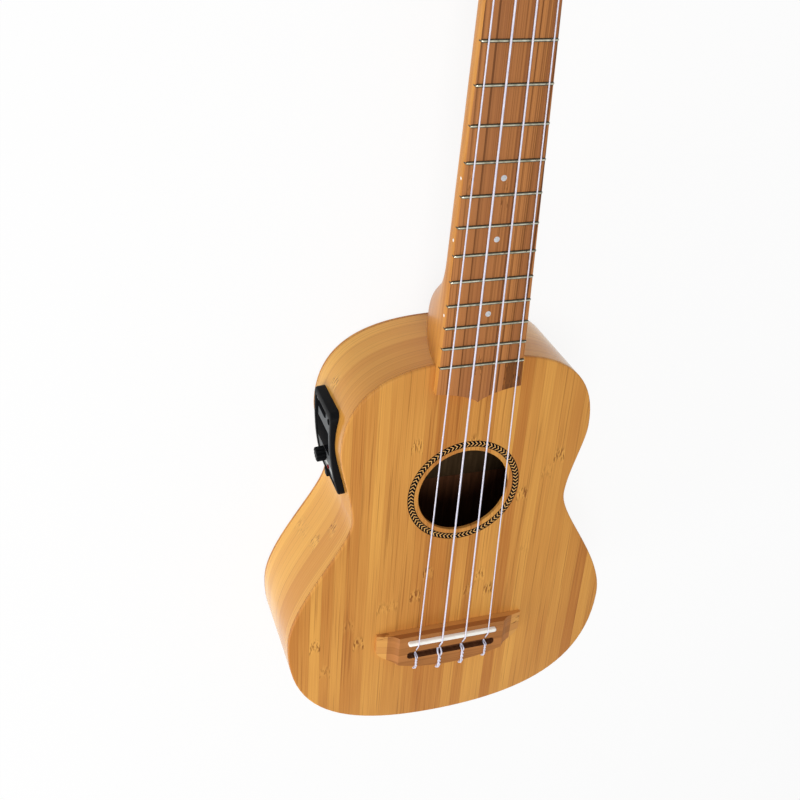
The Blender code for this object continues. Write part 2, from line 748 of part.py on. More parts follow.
def make_neck():
    stations = [NECK_JOIN + HEEL_LENGTH * share for share in HEEL_STATIONS]
    rings = [neck_section(y) for y in (NECK_JOIN - NECK_TRIM, *stations, HEAD_Y)]
    fall = math.tan(HEAD_ANGLE)
    for run in HEAD_BLEND:
        under = HEAD_THICKNESS + run * fall - HEAD_STEP
        rings.append(neck_section(HEAD_Y + run, -run * fall - HEAD_BLEND_DROP, under))
    neck = add_part("neck", loft("neck", rings), NECK_WOOD)
    half = head_half()
    outline = half + [(-x, y) for x, y in reversed(half[:-1])]
    head = plate("headstock", [outline], -HEAD_THICKNESS, 0)
    head.transform(HEAD_PLACE)
    boolean(neck, add_cutter("headstock", head), "UNION")
    boolean(neck, body_cope())
    deep = HEAD_THICKNESS * Z_AXIS
    ends = [(place + deep, place - 2 * deep) for _, place in posts()]
    bore = rods("post_bores", ends, POST_DIAMETER / 2 + FIT_GAP, POST_STEPS)
    bore.transform(HEAD_PLACE)
    boolean(neck, add_cutter("post_bores", bore))


def make_fretboard():
    corner_y = NECK_JOIN - FRETBOARD_OVERHANG
    corner = fretboard_width(corner_y) / 2
    sweep = (-FRETBOARD_CORNER_REACH[0], -FRETBOARD_CORNER_REACH[1])
    knots = [
        ((corner, corner_y), (0, 0), sweep),
        ((0, corner_y - FRETBOARD_POINT), FRETBOARD_POINT_REACH, (0, 0)),
    ]
    half = list(reversed(bezier_chain(knots, CURVE_STEPS))) + [(NUT_WIDTH / 2, SCALE_LENGTH)]
    loop = half + [(-x, y) for x, y in reversed(half[1:])]
    board = add_part("fretboard", plate("fretboard", [loop], GLUE_LINE, FRETBOARD_TOP), FRETBOARD_WOOD)
    bm = bmesh.new()
    wide, deep = FRET_TANG_THICKNESS + 2 * FIT_GAP, FRET_TANG_DEPTH + FIT_GAP
    size = Matrix.Diagonal((2 * TWELFTH_WIDTH, wide, 2 * deep, 1))
    for number in range(1, FRET_COUNT + 1):
        place = Matrix.Translation((0, fret_y(number), FRETBOARD_TOP))
        bmesh.ops.create_cube(bm, size=1, matrix=place @ size)
    boolean(board, add_cutter("fret_slots", mesh_of("fret_slots", bm)))
    depth = (DOT_THICKNESS + GLUE_LINE) * Z_AXIS
    holes = [(place + depth, place - depth) for place in dot_places()]
    dots = rods("dot_holes", holes, DOT_DIAMETER / 2 + GLUE_LINE, PIN_STEPS)
    boolean(board, add_cutter("dot_holes", dots))


def dot_places():
    return [Vector((0, (fret_y(n - 1) + fret_y(n)) / 2, FRETBOARD_TOP)) for n in DOT_FRETS]


def make_dots():
    for number, place in zip(DOT_FRETS, dot_places()):
        name = f"position_dot_{number:02d}"
        mesh = rods(name, [(place, place - DOT_THICKNESS * Z_AXIS)], DOT_DIAMETER / 2, PIN_STEPS)
        add_part(name, mesh, PEARL)


def make_frets():
    """Each fret is a round crown on a tang that goes down into its slot."""
    tang = FRET_TANG_THICKNESS / 2
    turns = [math.pi * i / CROWN_STEPS for i in range(CROWN_STEPS + 1)]
    crown = [(FRET_WIDTH / 2 * math.cos(turn), FRET_HEIGHT * math.sin(turn)) for turn in turns]
    profile = crown + [(-tang, 0), (-tang, -FRET_TANG_DEPTH), (tang, -FRET_TANG_DEPTH), (tang, 0)]
    across = Matrix(((0, 0, 1, 0), (1, 0, 0, 0), (0, 1, 0, 0), (0, 0, 0, 1)))
    for number in range(1, FRET_COUNT + 1):
        y = fret_y(number)
        half = fretboard_width(y) / 2 - FRET_END_INSET
        name = f"fret_{number:02d}"
        mesh = plate(name, [profile], -half, half)
        mesh.transform(across)
        fret = add_part(name, shade_smooth(mesh), NICKEL)
        fret.location = (0, y, FRETBOARD_TOP + GLUE_LINE)


def make_nut():
    half = NUT_WIDTH / 2
    mesh = box("nut", (-half, SCALE_LENGTH + GLUE_LINE, GLUE_LINE), (half, HEAD_Y, NUT_TOP))
    nut = add_part("nut", mesh, BONE)
    bm = bmesh.new()
    for index, diameter in enumerate(STRING_DIAMETERS):
        x = string_x(index, NUT_STRING_SPREAD)
        wide = diameter + 2 * STRING_GROOVE_GAP
        centre = (x, SCALE_LENGTH + NUT_THICKNESS / 2, NUT_SLOT + NUT_WALL_HEIGHT)
        size = Matrix.Diagonal((wide, 3 * NUT_THICKNESS, 2 * NUT_WALL_HEIGHT, 1))
        bmesh.ops.create_cube(bm, size=1, matrix=Matrix.Translation(centre) @ size)
    boolean(nut, add_cutter("nut_slots", mesh_of("nut_slots", bm)))


def bridge_profile():
    """The bridge from the front: a flat middle, and ramps that scoop down to thin wings."""
    half, flat = BRIDGE_LENGTH / 2, BRIDGE_FLAT_LENGTH / 2
    (foot_x, foot_z), (head_x, head_z) = BRIDGE_RAMP_FOOT_REACH, BRIDGE_RAMP_HEAD_REACH
    knots = [
        ((half - BRIDGE_WING_LENGTH, BRIDGE_WING_ROOT), (0, 0), (-foot_x, foot_z)),
        ((flat, BRIDGE_TOP), (head_x, -head_z), (0, 0)),
    ]
    side = [(half, GLUE_LINE), (half, BRIDGE_WING_TIP)] + bezier_chain(knots, RAMP_STEPS)
    return side + [(-x, z) for x, z in reversed(side)]


def bridge_footprint():
    """The bridge from above: a straight front, and a belly behind."""
    half = BRIDGE_LENGTH / 2
    knots = [
        ((half, -BRIDGE_END_REAR), (0, 0), (0, -BRIDGE_CORNER_REACH)),
        ((0, -BRIDGE_BELLY), (BRIDGE_BELLY_REACH, 0), (0, 0)),
    ]
    edge = list(reversed(bezier_chain(knots, CURVE_STEPS))) + [(half, BRIDGE_FRONT)]
    return edge + [(-x, y) for x, y in reversed(edge[1:])]


def make_bridge():
    mesh = plate("bridge", [bridge_profile()], -2 * BRIDGE_BELLY, 2 * BRIDGE_BELLY)
    mesh.transform(Matrix.Rotation(math.pi / 2, 4, "X"))
    bridge = add_part("bridge", mesh, BRIDGE_WOOD)
    outline = plate("bridge_footprint", [bridge_footprint()], -BRIDGE_TOP, 2 * BRIDGE_TOP)
    boolean(bridge, add_cutter("bridge_footprint", outline), "INTERSECT")
    thick, long = SADDLE_THICKNESS + 2 * GLUE_LINE, SADDLE_LENGTH + 2 * GLUE_LINE
    slot = rounded_rectangle(long, thick, thick / 2, (0, SADDLE_Y))
    boolean(bridge, add_cutter("saddle_slot", plate("saddle_slot", [slot], SADDLE_SEAT, 2 * BRIDGE_TOP)))
    centre = (0, -TIE_SLOT_FRONT - TIE_SLOT_WIDTH / 2)
    ends = rounded_rectangle(TIE_SLOT_LENGTH, TIE_SLOT_WIDTH, TIE_SLOT_WIDTH / 2, centre)
    boolean(bridge, add_cutter("tie_slot", plate("tie_slot", [ends], TIE_SLOT_FLOOR, 2 * BRIDGE_TOP)))
    boolean(bridge, string_ways())
    boolean(bridge, pickup_lead_hole())


def string_ways():
    """A groove from saddle to tie slot, and a hole on through the tie block, for each string."""
    bm = bmesh.new()
    for index, diameter in enumerate(STRING_DIAMETERS):
        radius = diameter / 2 + STRING_GROOVE_GAP
        _, _, saddle, tie, rear, *_ = bridge_end(index)
        add_rod(bm, tie + (saddle - tie) * GROOVE_SHARE, tie, radius, STRING_HOLE_STEPS)
        start = tie + Vector((0, TIE_SLOT_WIDTH / 4, 0))
        add_rod(bm, start, rear, radius, STRING_HOLE_STEPS)
    return add_cutter("string_ways", mesh_of("string_ways", bm))


def bridge_end(index):
    """A string's places from the nut side to its tied end, over the saddle and round the tie block."""
    radius = STRING_DIAMETERS[index] / 2
    x = string_x(index, SADDLE_STRING_SPREAD)
    block_front = -TIE_SLOT_FRONT - TIE_SLOT_WIDTH
    rear = -BRIDGE_BELLY - 2 * radius
    over = BRIDGE_TOP + STRING_GROOVE_GAP + radius
    lift = (over - TIE_HOLE_HEIGHT) / 4
    nut = Vector((string_x(index, NUT_STRING_SPREAD), SCALE_LENGTH, NUT_SLOT + GLUE_LINE + radius))
    tie = Vector((x, block_front + TIE_SLOT_WIDTH / 4, TIE_HOLE_HEIGHT))
    crest = Vector((x, SADDLE_Y - SADDLE_THICKNESS / 2 + SADDLE_ROUND, SADDLE_TOP - SADDLE_ROUND))
    clear = SADDLE_ROUND + GLUE_LINE + radius
    fall = math.atan2(crest.z + clear - tie.z, crest.y - tie.y)
    return [
        nut,
        crest + Vector((0, 0, clear)),
        crest + Vector((0, -clear * math.sin(fall), clear * math.cos(fall))),
        tie,
        Vector((x, rear, TIE_HOLE_HEIGHT)),
        Vector((x, rear - lift, TIE_HOLE_HEIGHT + lift)),
        Vector((x, rear - lift, over - lift)),
        Vector((x, rear, over)),
        Vector((x, block_front, over)),
    ]


def make_saddle():
    floor = SADDLE_SEAT + PICKUP_THICKNESS + 2 * GLUE_LINE
    loop = rounded_rectangle(SADDLE_LENGTH, SADDLE_THICKNESS, SADDLE_THICKNESS / 2, (0, SADDLE_Y))
    mesh = plate("saddle", [loop], floor, SADDLE_TOP)
    round_rim(mesh, (0, 0, SADDLE_TOP), Z_AXIS, SADDLE_ROUND)
    add_part("saddle", shade_smooth(mesh), BONE)


def make_pickup():
    """The strip under the saddle, with its lead down through the soundboard to the preamp."""
    half = SADDLE_LENGTH / 2 - SADDLE_THICKNESS / 2
    thick = SADDLE_THICKNESS / 2
    low = (-half, SADDLE_Y - thick, SADDLE_SEAT + GLUE_LINE)
    strip = box("pickup", low, (half, SADDLE_Y + thick, SADDLE_SEAT + GLUE_LINE + PICKUP_THICKNESS))
    pickup = add_part("pickup", strip, BRASS)
    top = (PICKUP_LEAD_X, SADDLE_Y, SADDLE_SEAT + PICKUP_THICKNESS / 2)
    under = (PICKUP_LEAD_X, SADDLE_Y, TOP_UNDERSIDE - PATCH_THICKNESS - LEAD_EXIT / 2)
    end = preamp_lead_place(0)
    places = [under, *PICKUP_ROUTE, end + PREAMP_AXES @ Vector((0, 0, -LEAD_EXIT))]
    route = [Vector(top), *smooth_route(places, LEAD_STEPS), end]
    lead = add_cutter("pickup_lead", tube("pickup_lead", route, PICKUP_LEAD_DIAMETER, LEAD_BEVEL_STEPS))
    boolean(pickup, lead, "UNION")


def tangent_angle(point, centre, radius, hand):
    """Where a line from the point meets a circle: its angle about the centre, on the side of hand."""
    away = Vector((point.x - centre.x, point.y - centre.y))
    spread = math.acos(radius / away.length)
    return math.atan2(away.y, away.x) + hand * spread


def winding(index, bend):
    """A string's turns on its post, from where it comes in from the nut up to the post's hole."""
    radius = STRING_DIAMETERS[index] / 2
    hand, post = posts()[index]
    reach = POST_DIAMETER / 2 + FIT_GAP + radius
    start = tangent_angle(HEAD_PLACE.inverted() @ bend, post, reach, -hand)
    pitch = winding_pitch()
    turns = []
    for i in range(round(WINDING_TURNS * WINDING_STEPS) + 1):
        turn = i / WINDING_STEPS
        angle = start - hand * 2 * math.pi * turn
        height = WINDING_ABOVE_HEAD + pitch * turn
        offset = Vector((reach * math.cos(angle), reach * math.sin(angle), height))
        turns.append(HEAD_PLACE @ (post + offset))
    return turns


def winding_pitch():
    return max(STRING_DIAMETERS) + WINDING_SPACING


def least_gap(points, diameter):
    """The least clear distance between turns of a cord, from its points."""
    around = 1.5 * (POST_DIAMETER + diameter)
    length = [0.0]
    for a, b in zip(points, points[1:]):
        length.append(length[-1] + (b - a).length)
    pairs = ((i, j) for i in range(len(points)) for j in range(i) if length[i] - length[j] > around)
    return min((points[i] - points[j]).length for i, j in pairs) - diameter


def make_strings():
    for index, (name, diameter) in enumerate(zip(STRING_NAMES, STRING_DIAMETERS)):
        nut, saddle, *tied = bridge_end(index)
        beyond = (NUT_THICKNESS + FIT_GAP) / (nut.y - saddle.y)
        bend = nut + (nut - saddle) * beyond
        turns = winding(index, bend)
        route = list(reversed(turns)) + [bend, saddle, *tied]
        lead_in = [turns[0].lerp(bend, step / CURVE_STEPS) for step in range(1, CURVE_STEPS)]
        gap = least_gap(turns + lead_in, diameter)
        print(f"{name}: least gap between its turns {gap * 1000:.2f} mm")
        add_part(name, tube(name, route, diameter, STRING_BEVEL_STEPS), NYLON)


def gear_sizes():
    """Pitch radius, tip radius, root radius and the distance from the gear's axis to the worm's."""
    pitch = GEAR_MODULE * GEAR_TEETH / 2
    axes = pitch + WORM_PITCH_DIAMETER / 2
    return pitch, pitch + TOOTH_ADDENDUM, axes - worm_radius() - TOOTH_TIP_GAP, axes


def tooth_half_width(above_pitch):
    """Half the thickness of a gear tooth or worm thread, at a height above its pitch line."""
    quarter_pitch = math.pi * GEAR_MODULE / 4
    return quarter_pitch - TOOTH_FLANK_GAP / 2 - above_pitch * math.tan(PRESSURE_ANGLE)


def gear_loop():
    pitch, tip, root, _ = gear_sizes()
    heights = (root - pitch, 0, tip - pitch)
    flank = [(pitch + height, tooth_half_width(height) / (pitch + height)) for height in heights]
    loop = []
    for tooth in range(GEAR_TEETH):
        middle = math.pi / 2 + 2 * math.pi * tooth / GEAR_TEETH
        corners = [(r, -a) for r, a in flank] + [(r, a) for r, a in reversed(flank)]
        loop += [(r * math.cos(middle + a), r * math.sin(middle + a)) for r, a in corners]
    return loop


def gear_middle():
    return -TUNER_PLATE_THICKNESS - GLUE_LINE - FIT_GAP - worm_radius()


def worm_radius():
    return WORM_PITCH_DIAMETER / 2 + TOOTH_ADDENDUM


def worm_half_length():
    return math.pi * GEAR_MODULE * (WORM_TURNS + 1) / 2


def gear_mesh():
    """The gear, its teeth twisted to lie along the worm's thread, on its post with the string hole."""
    low, high = gear_middle() - GEAR_THICKNESS / 2, gear_middle() + GEAR_THICKNESS / 2
    mesh = plate("tuner_gear", [gear_loop()], low, high)
    lead = math.pi * GEAR_MODULE / (math.pi * WORM_PITCH_DIAMETER)
    for vertex in mesh.vertices:
        twist = lead * (vertex.co.z - gear_middle()) / gear_sizes()[0]
        vertex.co.xy = Matrix.Rotation(twist, 2) @ vertex.co.xy
    gear = add_part("tuner_gear", mesh, NICKEL)
    top = HEAD_THICKNESS + POST_ABOVE_HEAD
    ends = [((0, 0, low + GEAR_THICKNESS / 3), (0, 0, top))]
    post = rods("tuner_post", ends, POST_DIAMETER / 2, POST_STEPS)
    hole_height = HEAD_THICKNESS + WINDING_ABOVE_HEAD + winding_pitch() * WINDING_TURNS
    ends = [((-POST_DIAMETER, 0, hole_height), (POST_DIAMETER, 0, hole_height))]
    hole = rods("post_hole", ends, POST_HOLE_DIAMETER / 2, STRING_HOLE_STEPS)
    boolean(gear, add_cutter("tuner_post", post), "UNION")
    boolean(gear, add_cutter("post_hole", hole))
    return baked(gear)


def worm_mesh():
    """The worm: a thread wound on the shaft, with the button on the shaft's outer end."""
    pitch = math.pi * GEAR_MODULE
    radii = (THREAD_ROOT_RADIUS, worm_radius())
    root, tip = [(r, tooth_half_width(r - WORM_PITCH_DIAMETER / 2)) for r in radii]
    start = -pitch * WORM_TURNS / 2
    corners = [(root, -1), (tip, -1), (tip, 1), (root, 1)]
    bm = bmesh.new()
    section = bm.faces.new([bm.verts.new((start + side * half, -r, 0)) for (r, half), side in corners])
    bmesh.ops.spin(
        bm,
        geom=[section, *section.edges, *section.verts],
        cent=(0, 0, 0),
        axis=(1, 0, 0),
        dvec=(pitch / WORM_STEPS, 0, 0),
        angle=2 * math.pi * WORM_TURNS,
        steps=WORM_STEPS * WORM_TURNS,
    )
    worm = add_part("tuner_worm", mesh_of("tuner_worm", bm), NICKEL)
    inner = -worm_half_length() - FIT_GAP - LUG_THICKNESS - SHAFT_END_STANDS
    outer = POST_FROM_EDGE + BUTTON_CLEAR_OF_HEAD
    ends = [((inner, 0, 0), (outer + BUTTON_LENGTH / 2, 0, 0))]
    shaft = rods("tuner_shaft", ends, SHAFT_DIAMETER / 2, SHAFT_STEPS)
    boolean(worm, add_cutter("tuner_shaft", shaft), "UNION")
    bm = bmesh.new()
    bmesh.ops.create_uvsphere(bm, u_segments=BUTTON_STEPS, v_segments=CURVE_STEPS, radius=0.5)
    bmesh.ops.scale(bm, vec=(BUTTON_LENGTH, BUTTON_WIDTH, BUTTON_THICKNESS), verts=bm.verts)
    bmesh.ops.translate(bm, vec=(outer + BUTTON_LENGTH / 2, 0, 0), verts=bm.verts)
    boolean(worm, add_cutter("tuner_button", mesh_of("tuner_button", bm)), "UNION")
    return baked(worm)


def tuner_plate_mesh():
    """The base plate, with two lugs that carry the worm's shaft."""
    _, tip, _, axes = gear_sizes()
    lug_inner = worm_half_length() + FIT_GAP
    wide = 2 * (lug_inner + LUG_THICKNESS + TUNER_PLATE_MARGIN)
    front, rear = axes + LUG_WIDTH / 2 + TUNER_PLATE_MARGIN, -tip - TUNER_PLATE_MARGIN
    loop = rounded_rectangle(wide, front - rear, TUNER_PLATE_CORNER, (0, (front + rear) / 2))
    post_hole = circle(POST_DIAMETER / 2 + RUNNING_GAP, POST_STEPS)
    base = plate("tuner_plate", [loop, post_hole], -TUNER_PLATE_THICKNESS - GLUE_LINE, -GLUE_LINE)
    holder = add_part("tuner_plate", base, NICKEL)
    bm = bmesh.new()
    bottom = gear_middle() - SHAFT_DIAMETER / 2 - LUG_THICKNESS
    top = -GLUE_LINE - TUNER_PLATE_THICKNESS / 2
    for hand in (-1, 1):
        centre = (hand * (lug_inner + LUG_THICKNESS / 2), axes, (top + bottom) / 2)
        size = Matrix.Diagonal((LUG_THICKNESS, LUG_WIDTH, top - bottom, 1))
        bmesh.ops.create_cube(bm, size=1, matrix=Matrix.Translation(centre) @ size)
    boolean(holder, add_cutter("tuner_lugs", mesh_of("tuner_lugs", bm)), "UNION")
    ends = [((-wide, axes, gear_middle()), (wide, axes, gear_middle()))]
    holes = rods("shaft_holes", ends, SHAFT_DIAMETER / 2 + RUNNING_GAP, SHAFT_STEPS)
    boolean(holder, add_cutter("shaft_holes", holes))
    return baked(holder)


def baked(part):
    """One finished mesh of a part and its Booleans, for copies to share. Part and cutters are removed."""
    graph = bpy.context.evaluated_depsgraph_get()
    mesh = bpy.data.meshes.new_from_object(part.evaluated_get(graph))
    for cutter in [step.object for step in part.modifiers]:
        bpy.data.objects.remove(cutter)
    bpy.data.objects.remove(part)
    return shade_smooth(mesh)


def make_tuners():
    meshes = {"plate": tuner_plate_mesh(), "gear": gear_mesh(), "worm": worm_mesh()}
    for name, (hand, place) in zip(STRING_NAMES, posts()):
        label = name[0]
        unit = bpy.data.objects.new(f"{label}_tuner", None)
        PARTS.objects.link(unit)
        unit.parent = FRAME
        back = Matrix.Translation(place - Vector((0, 0, HEAD_THICKNESS)))
        turn = Matrix.Rotation(0 if hand > 0 else math.pi, 4, "Z")
        unit.matrix_local = HEAD_PLACE @ back @ turn
        add_part(f"{label}_tuner_plate", meshes["plate"], NICKEL, unit)
        add_part(f"{label}_tuner_gear", meshes["gear"], NICKEL, unit)
        worm = add_part(f"{label}_tuner_worm", meshes["worm"], NICKEL, unit)
        worm.location = (0, gear_sizes()[3], gear_middle())


def preamp_frame():
    """The preamp's place: the middle of its face, which stands clear of the curved side's crest."""
    low, high = PREAMP_Y - PREAMP_LENGTH / 2, PREAMP_Y + PREAMP_LENGTH / 2
    start, end = (Vector((-half_width_at(y), y)) for y in (low, high))
    along = (end - start).normalized()
    out = Vector((-along.y, along.x))
    crest = max((Vector(p) - start).dot(out) for p in body_loop() if p[0] < 0 and low < p[1] < high)
    face = (start + end) / 2 + out * (crest + PREAMP_PROUD)
    axes = Matrix(((along.x, 0, out.x), (along.y, 0, out.y), (0, -1, 0)))
    return Vector((face.x, face.y, -PREAMP_BELOW_TOP)), axes


def preamp_matrix():
    return Matrix.Translation(PREAMP_FACE) @ PREAMP_AXES.to_4x4()


def preamp_bow(x):
    """How far the preamp's face falls back at a distance along it, as it follows the curve of the side."""
    return -PREAMP_SAG * (2 * x / PREAMP_LENGTH) ** 2


def bowed(mesh):
    """Cuts a plate of the preamp across its length, bends its outer face to the bow, and puts it in place."""
    bm = bmesh.new()
    bm.from_mesh(mesh)
    for step in range(1, BOW_STEPS):
        x = PREAMP_LENGTH * (step / BOW_STEPS - 0.5)
        everything = [*bm.verts, *bm.edges, *bm.faces]
        bmesh.ops.bisect_plane(bm, geom=everything, dist=WELD / 10, plane_co=(x, 0, 0), plane_no=(1, 0, 0))
    for vertex in bm.verts:
        if vertex.co.z > -PREAMP_DEPTH / 4:
            vertex.co.z += preamp_bow(vertex.co.x)
    bm.to_mesh(mesh)
    bm.free()
    mesh.transform(preamp_matrix())
    return mesh


def preamp_opening(gap):
    """The bezel's opening, which the chassis fills, made smaller by a gap."""
    length, width = (size - 2 * PREAMP_RAIL - 2 * gap for size in (PREAMP_LENGTH, PREAMP_WIDTH))
    return rounded_rectangle(length, width, PREAMP_CORNER / 2)


def preamp_lead_place(step):
    """Where a lead meets the chassis's inner face, stepped along it."""
    offset = Vector((-PREAMP_LENGTH / 4 + step * LEAD_ENTRY_SPACING, 0, -PREAMP_DEPTH - FIT_GAP))
    return PREAMP_FACE + PREAMP_AXES @ offset


def display_loop(gap):
    size = (DISPLAY_LENGTH + 2 * gap, DISPLAY_WIDTH + 2 * gap)
    return rounded_rectangle(*size, DISPLAY_THICKNESS, (DISPLAY_FROM_CENTRE, 0))


def make_preamp():
    """The bezel, coped to the side, round a chassis with pockets for the display, knob and button."""
    outer = rounded_rectangle(PREAMP_LENGTH, PREAMP_WIDTH, PREAMP_CORNER)
    bezel = bowed(plate("preamp_bezel", [outer, preamp_opening(0)], -PREAMP_DEPTH / 2, 0))
    boolean(add_part("preamp_bezel", bezel, BLACK_ABS), body_cope())
    face = -PREAMP_FACE_RECESS
    chassis_mesh = bowed(plate("preamp_chassis", [preamp_opening(FIT_GAP)], -PREAMP_DEPTH, face))
    chassis = add_part("preamp_chassis", chassis_mesh, GREY_ABS)
    floor = face - DISPLAY_THICKNESS
    lens = bowed(plate("display_lens", [display_loop(0)], floor, face))
    add_part("display_lens", lens, BLACK_ACRYLIC)
    knob_face, push_face = (face + preamp_bow(x) for x in (KNOB_FROM_CENTRE, PUSH_FROM_CENTRE))
    push_hole = PUSH_SIZE + 2 * FIT_GAP
    push_loop = rounded_rectangle(push_hole, push_hole, push_hole / 8, (PUSH_FROM_CENTRE, 0))
    push_floor = push_face - PUSH_STEM_LENGTH - PUSH_TRAVEL - FIT_GAP
    stem_floor = knob_face - KNOB_STEM_LENGTH - FIT_GAP
    stem_ends = [((KNOB_FROM_CENTRE, 0, 0), (KNOB_FROM_CENTRE, 0, stem_floor))]
    display_pocket = bowed(plate("display_pocket", [display_loop(GLUE_LINE)], floor - GLUE_LINE, 0))
    push_pocket = plate("push_pocket", [push_loop], push_floor, 0)
    stem_pocket = rods("stem_pocket", stem_ends, KNOB_STEM_DIAMETER / 2 + RUNNING_GAP, PIN_STEPS)
    for mesh in (push_pocket, stem_pocket):
        mesh.transform(preamp_matrix())
    for mesh in (display_pocket, push_pocket, stem_pocket):
        boolean(chassis, add_cutter(mesh.name, mesh))
    make_knob(knob_face)
    make_push_button(push_face)


def make_knob(face):
    """The fluted volume knob, with its stem down in the chassis. Its origin is on its axis at the face."""
    radius = KNOB_DIAMETER / 2 - KNOB_FLUTE_DEPTH
    steps = 4 * KNOB_FLUTES
    turns = [2 * math.pi * i / steps for i in range(steps)]
    reach = [radius + KNOB_FLUTE_DEPTH * math.cos(KNOB_FLUTES * a) for a in turns]
    loop = [(r * math.cos(a), r * math.sin(a)) for r, a in zip(reach, turns)]
    knob = add_part("volume_knob", plate("volume_knob", [loop], FIT_GAP, KNOB_HEIGHT), BLACK_ABS)
    knob.matrix_local = preamp_matrix() @ Matrix.Translation((KNOB_FROM_CENTRE, 0, face))
    ends = [((0, 0, -KNOB_STEM_LENGTH), (0, 0, KNOB_HEIGHT / 2))]
    stem = rods("knob_stem", ends, KNOB_STEM_DIAMETER / 2, PIN_STEPS)
    boolean(knob, add_cutter("knob_stem", stem, knob), "UNION")


def make_push_button(face):
    loop = rounded_rectangle(PUSH_SIZE, PUSH_SIZE, PUSH_SIZE / 8)
    push = add_part("push_button", plate("push_button", [loop], -PUSH_STEM_LENGTH, PUSH_STANDS), BLACK_ABS)
    push.matrix_local = preamp_matrix() @ Matrix.Translation((PUSH_FROM_CENTRE, 0, face))


def jack_hole():
    low = Vector((0, -BUTT_LENGTH - TAIL_BLOCK_LENGTH, -JACK_BELOW_TOP))
    high = Vector((0, TAIL_BLOCK_FACE + TAIL_BLOCK_LENGTH, -JACK_BELOW_TOP))
    return add_cutter("jack_hole", rods("jack_hole", [(low, high)], JACK_BARREL / 2 + FIT_GAP, JACK_STEPS))


def preamp_hole():
    mesh = plate("preamp_hole", [preamp_opening(0)], -PREAMP_DEPTH, PREAMP_DEPTH)
    mesh.transform(preamp_matrix())
    return add_cutter("preamp_hole", mesh)


def make_jack():
    """The end-pin jack: a flange outside, a barrel through side and block, and the switch body inside."""
    inside = BUTT_LENGTH + TAIL_BLOCK_FACE + FIT_GAP
    face = JACK_FLANGE_THICKNESS + FIT_GAP
    chamfer = JACK_FLANGE_THICKNESS / 3
    profile = [
        (0, face - JACK_BORE_DEPTH),
        (JACK_BORE / 2, face - JACK_BORE_DEPTH),
        (JACK_BORE / 2, face),
        (JACK_FLANGE / 2 - chamfer, face),
        (JACK_FLANGE / 2, face - chamfer),
        (JACK_FLANGE / 2, FIT_GAP),
        (JACK_BARREL / 2, FIT_GAP),
        (JACK_BARREL / 2, -inside),
        (JACK_BODY / 2, -inside),
        (JACK_BODY / 2, -inside - JACK_BODY_LENGTH),
        (0, -inside - JACK_BODY_LENGTH),
    ]
    bm = bmesh.new()
    corners = [bm.verts.new((r, 0, z)) for r, z in profile]
    for start, end in zip(corners, corners[1:]):
        bm.edges.new((start, end))
    mesh = bpy.data.meshes.new("output_jack")
    bm.to_mesh(mesh)
    bm.free()
    jack = add_part("output_jack", mesh, NICKEL)
    jack.location = (0, -BUTT_LENGTH, -JACK_BELOW_TOP)
    jack.rotation_euler.x = math.pi / 2
    screw = jack.modifiers.new("turned", "SCREW")
    screw.steps = screw.render_steps = JACK_STEPS
    screw.use_merge_vertices = True
    screw.merge_threshold = WELD


def make_jack_lead():
    inside = BUTT_LENGTH + TAIL_BLOCK_FACE + 2 * FIT_GAP + JACK_BODY_LENGTH
    jack_end = Vector((0, -BUTT_LENGTH + inside, -JACK_BELOW_TOP))
    start = preamp_lead_place(1)
    out = start + PREAMP_AXES @ Vector((0, 0, -LEAD_EXIT))
    places = [out, *JACK_ROUTE, jack_end + Vector((0, LEAD_EXIT, 0))]
    route = [start, *smooth_route(places, LEAD_STEPS), jack_end]
    add_part("jack_lead", tube("jack_lead", route, JACK_LEAD_DIAMETER, LEAD_BEVEL_STEPS), BLACK_PVC)


def make_frame():
    """The empty that carries the soundboard's frame, tilted so that the back is level and on the floor."""
    frame = bpy.data.objects.new("ukulele_frame", None)
    PARTS.objects.link(frame)
    rest = Vector((0, BACK_CENTRE_Y, back_height(BACK_CENTRE_Y)))
    frame.matrix_world = Matrix.Rotation(-BACK_TILT, 4, "X") @ Matrix.Translation(-rest)
    return frame


clear_scene()
PARTS = collection("ukulele")
CUTTERS = collection("cutters")
FRAME = make_frame()

BAMBOO_TOP = finish("bamboo_top", "CD9655", 0.35)
BAMBOO_SIDE = finish("bamboo_side", "D2A05A", 0.35)
BAMBOO_BACK = finish("bamboo_back", "CD9655", 0.35)
NECK_WOOD = finish("neck_wood", "D08C41", 0.25)
FRETBOARD_WOOD = finish("fretboard_bamboo", "AF6E3C", 0.45)
BRIDGE_WOOD = finish("bridge_bamboo", "A06638", 0.45)
SPRUCE = finish("spruce", "D9BE8C", 0.7)
ROSETTE_INLAY = finish("rosette_inlay", "2A211A", 0.4)
BONE = finish("bone", "F2F2EA", 0.35)
PEARL = finish("pearl", "E6E6E0", 0.2)
NICKEL = finish("nickel_silver", "C8C8C4", 0.25, 1.0)
BRASS = finish("brass", "B99A55", 0.35, 1.0)
NYLON = finish("nylon", "E0DCF0", 0.3)
BLACK_ABS = finish("black_abs", "161616", 0.45)
GREY_ABS = finish("grey_abs", "4A4A4C", 0.5)
BLACK_ACRYLIC = finish("black_acrylic", "0A0A0C", 0.1)
BLACK_PVC = finish("black_pvc", "202022", 0.5)

PREAMP_FACE, PREAMP_AXES = preamp_frame()
JACK_HOLE = jack_hole()
PREAMP_HOLE = preamp_hole()

make_soundboard()
make_rosette()
make_back()
make_sides()
make_linings()
make_blocks()
make_braces()
make_bridge_patch()
make_neck()
make_fretboard()
make_dots()
make_frets()
make_nut()
make_bridge()
make_saddle()
make_pickup()
make_strings()
make_tuners()
make_preamp()
make_jack()
make_jack_lead()
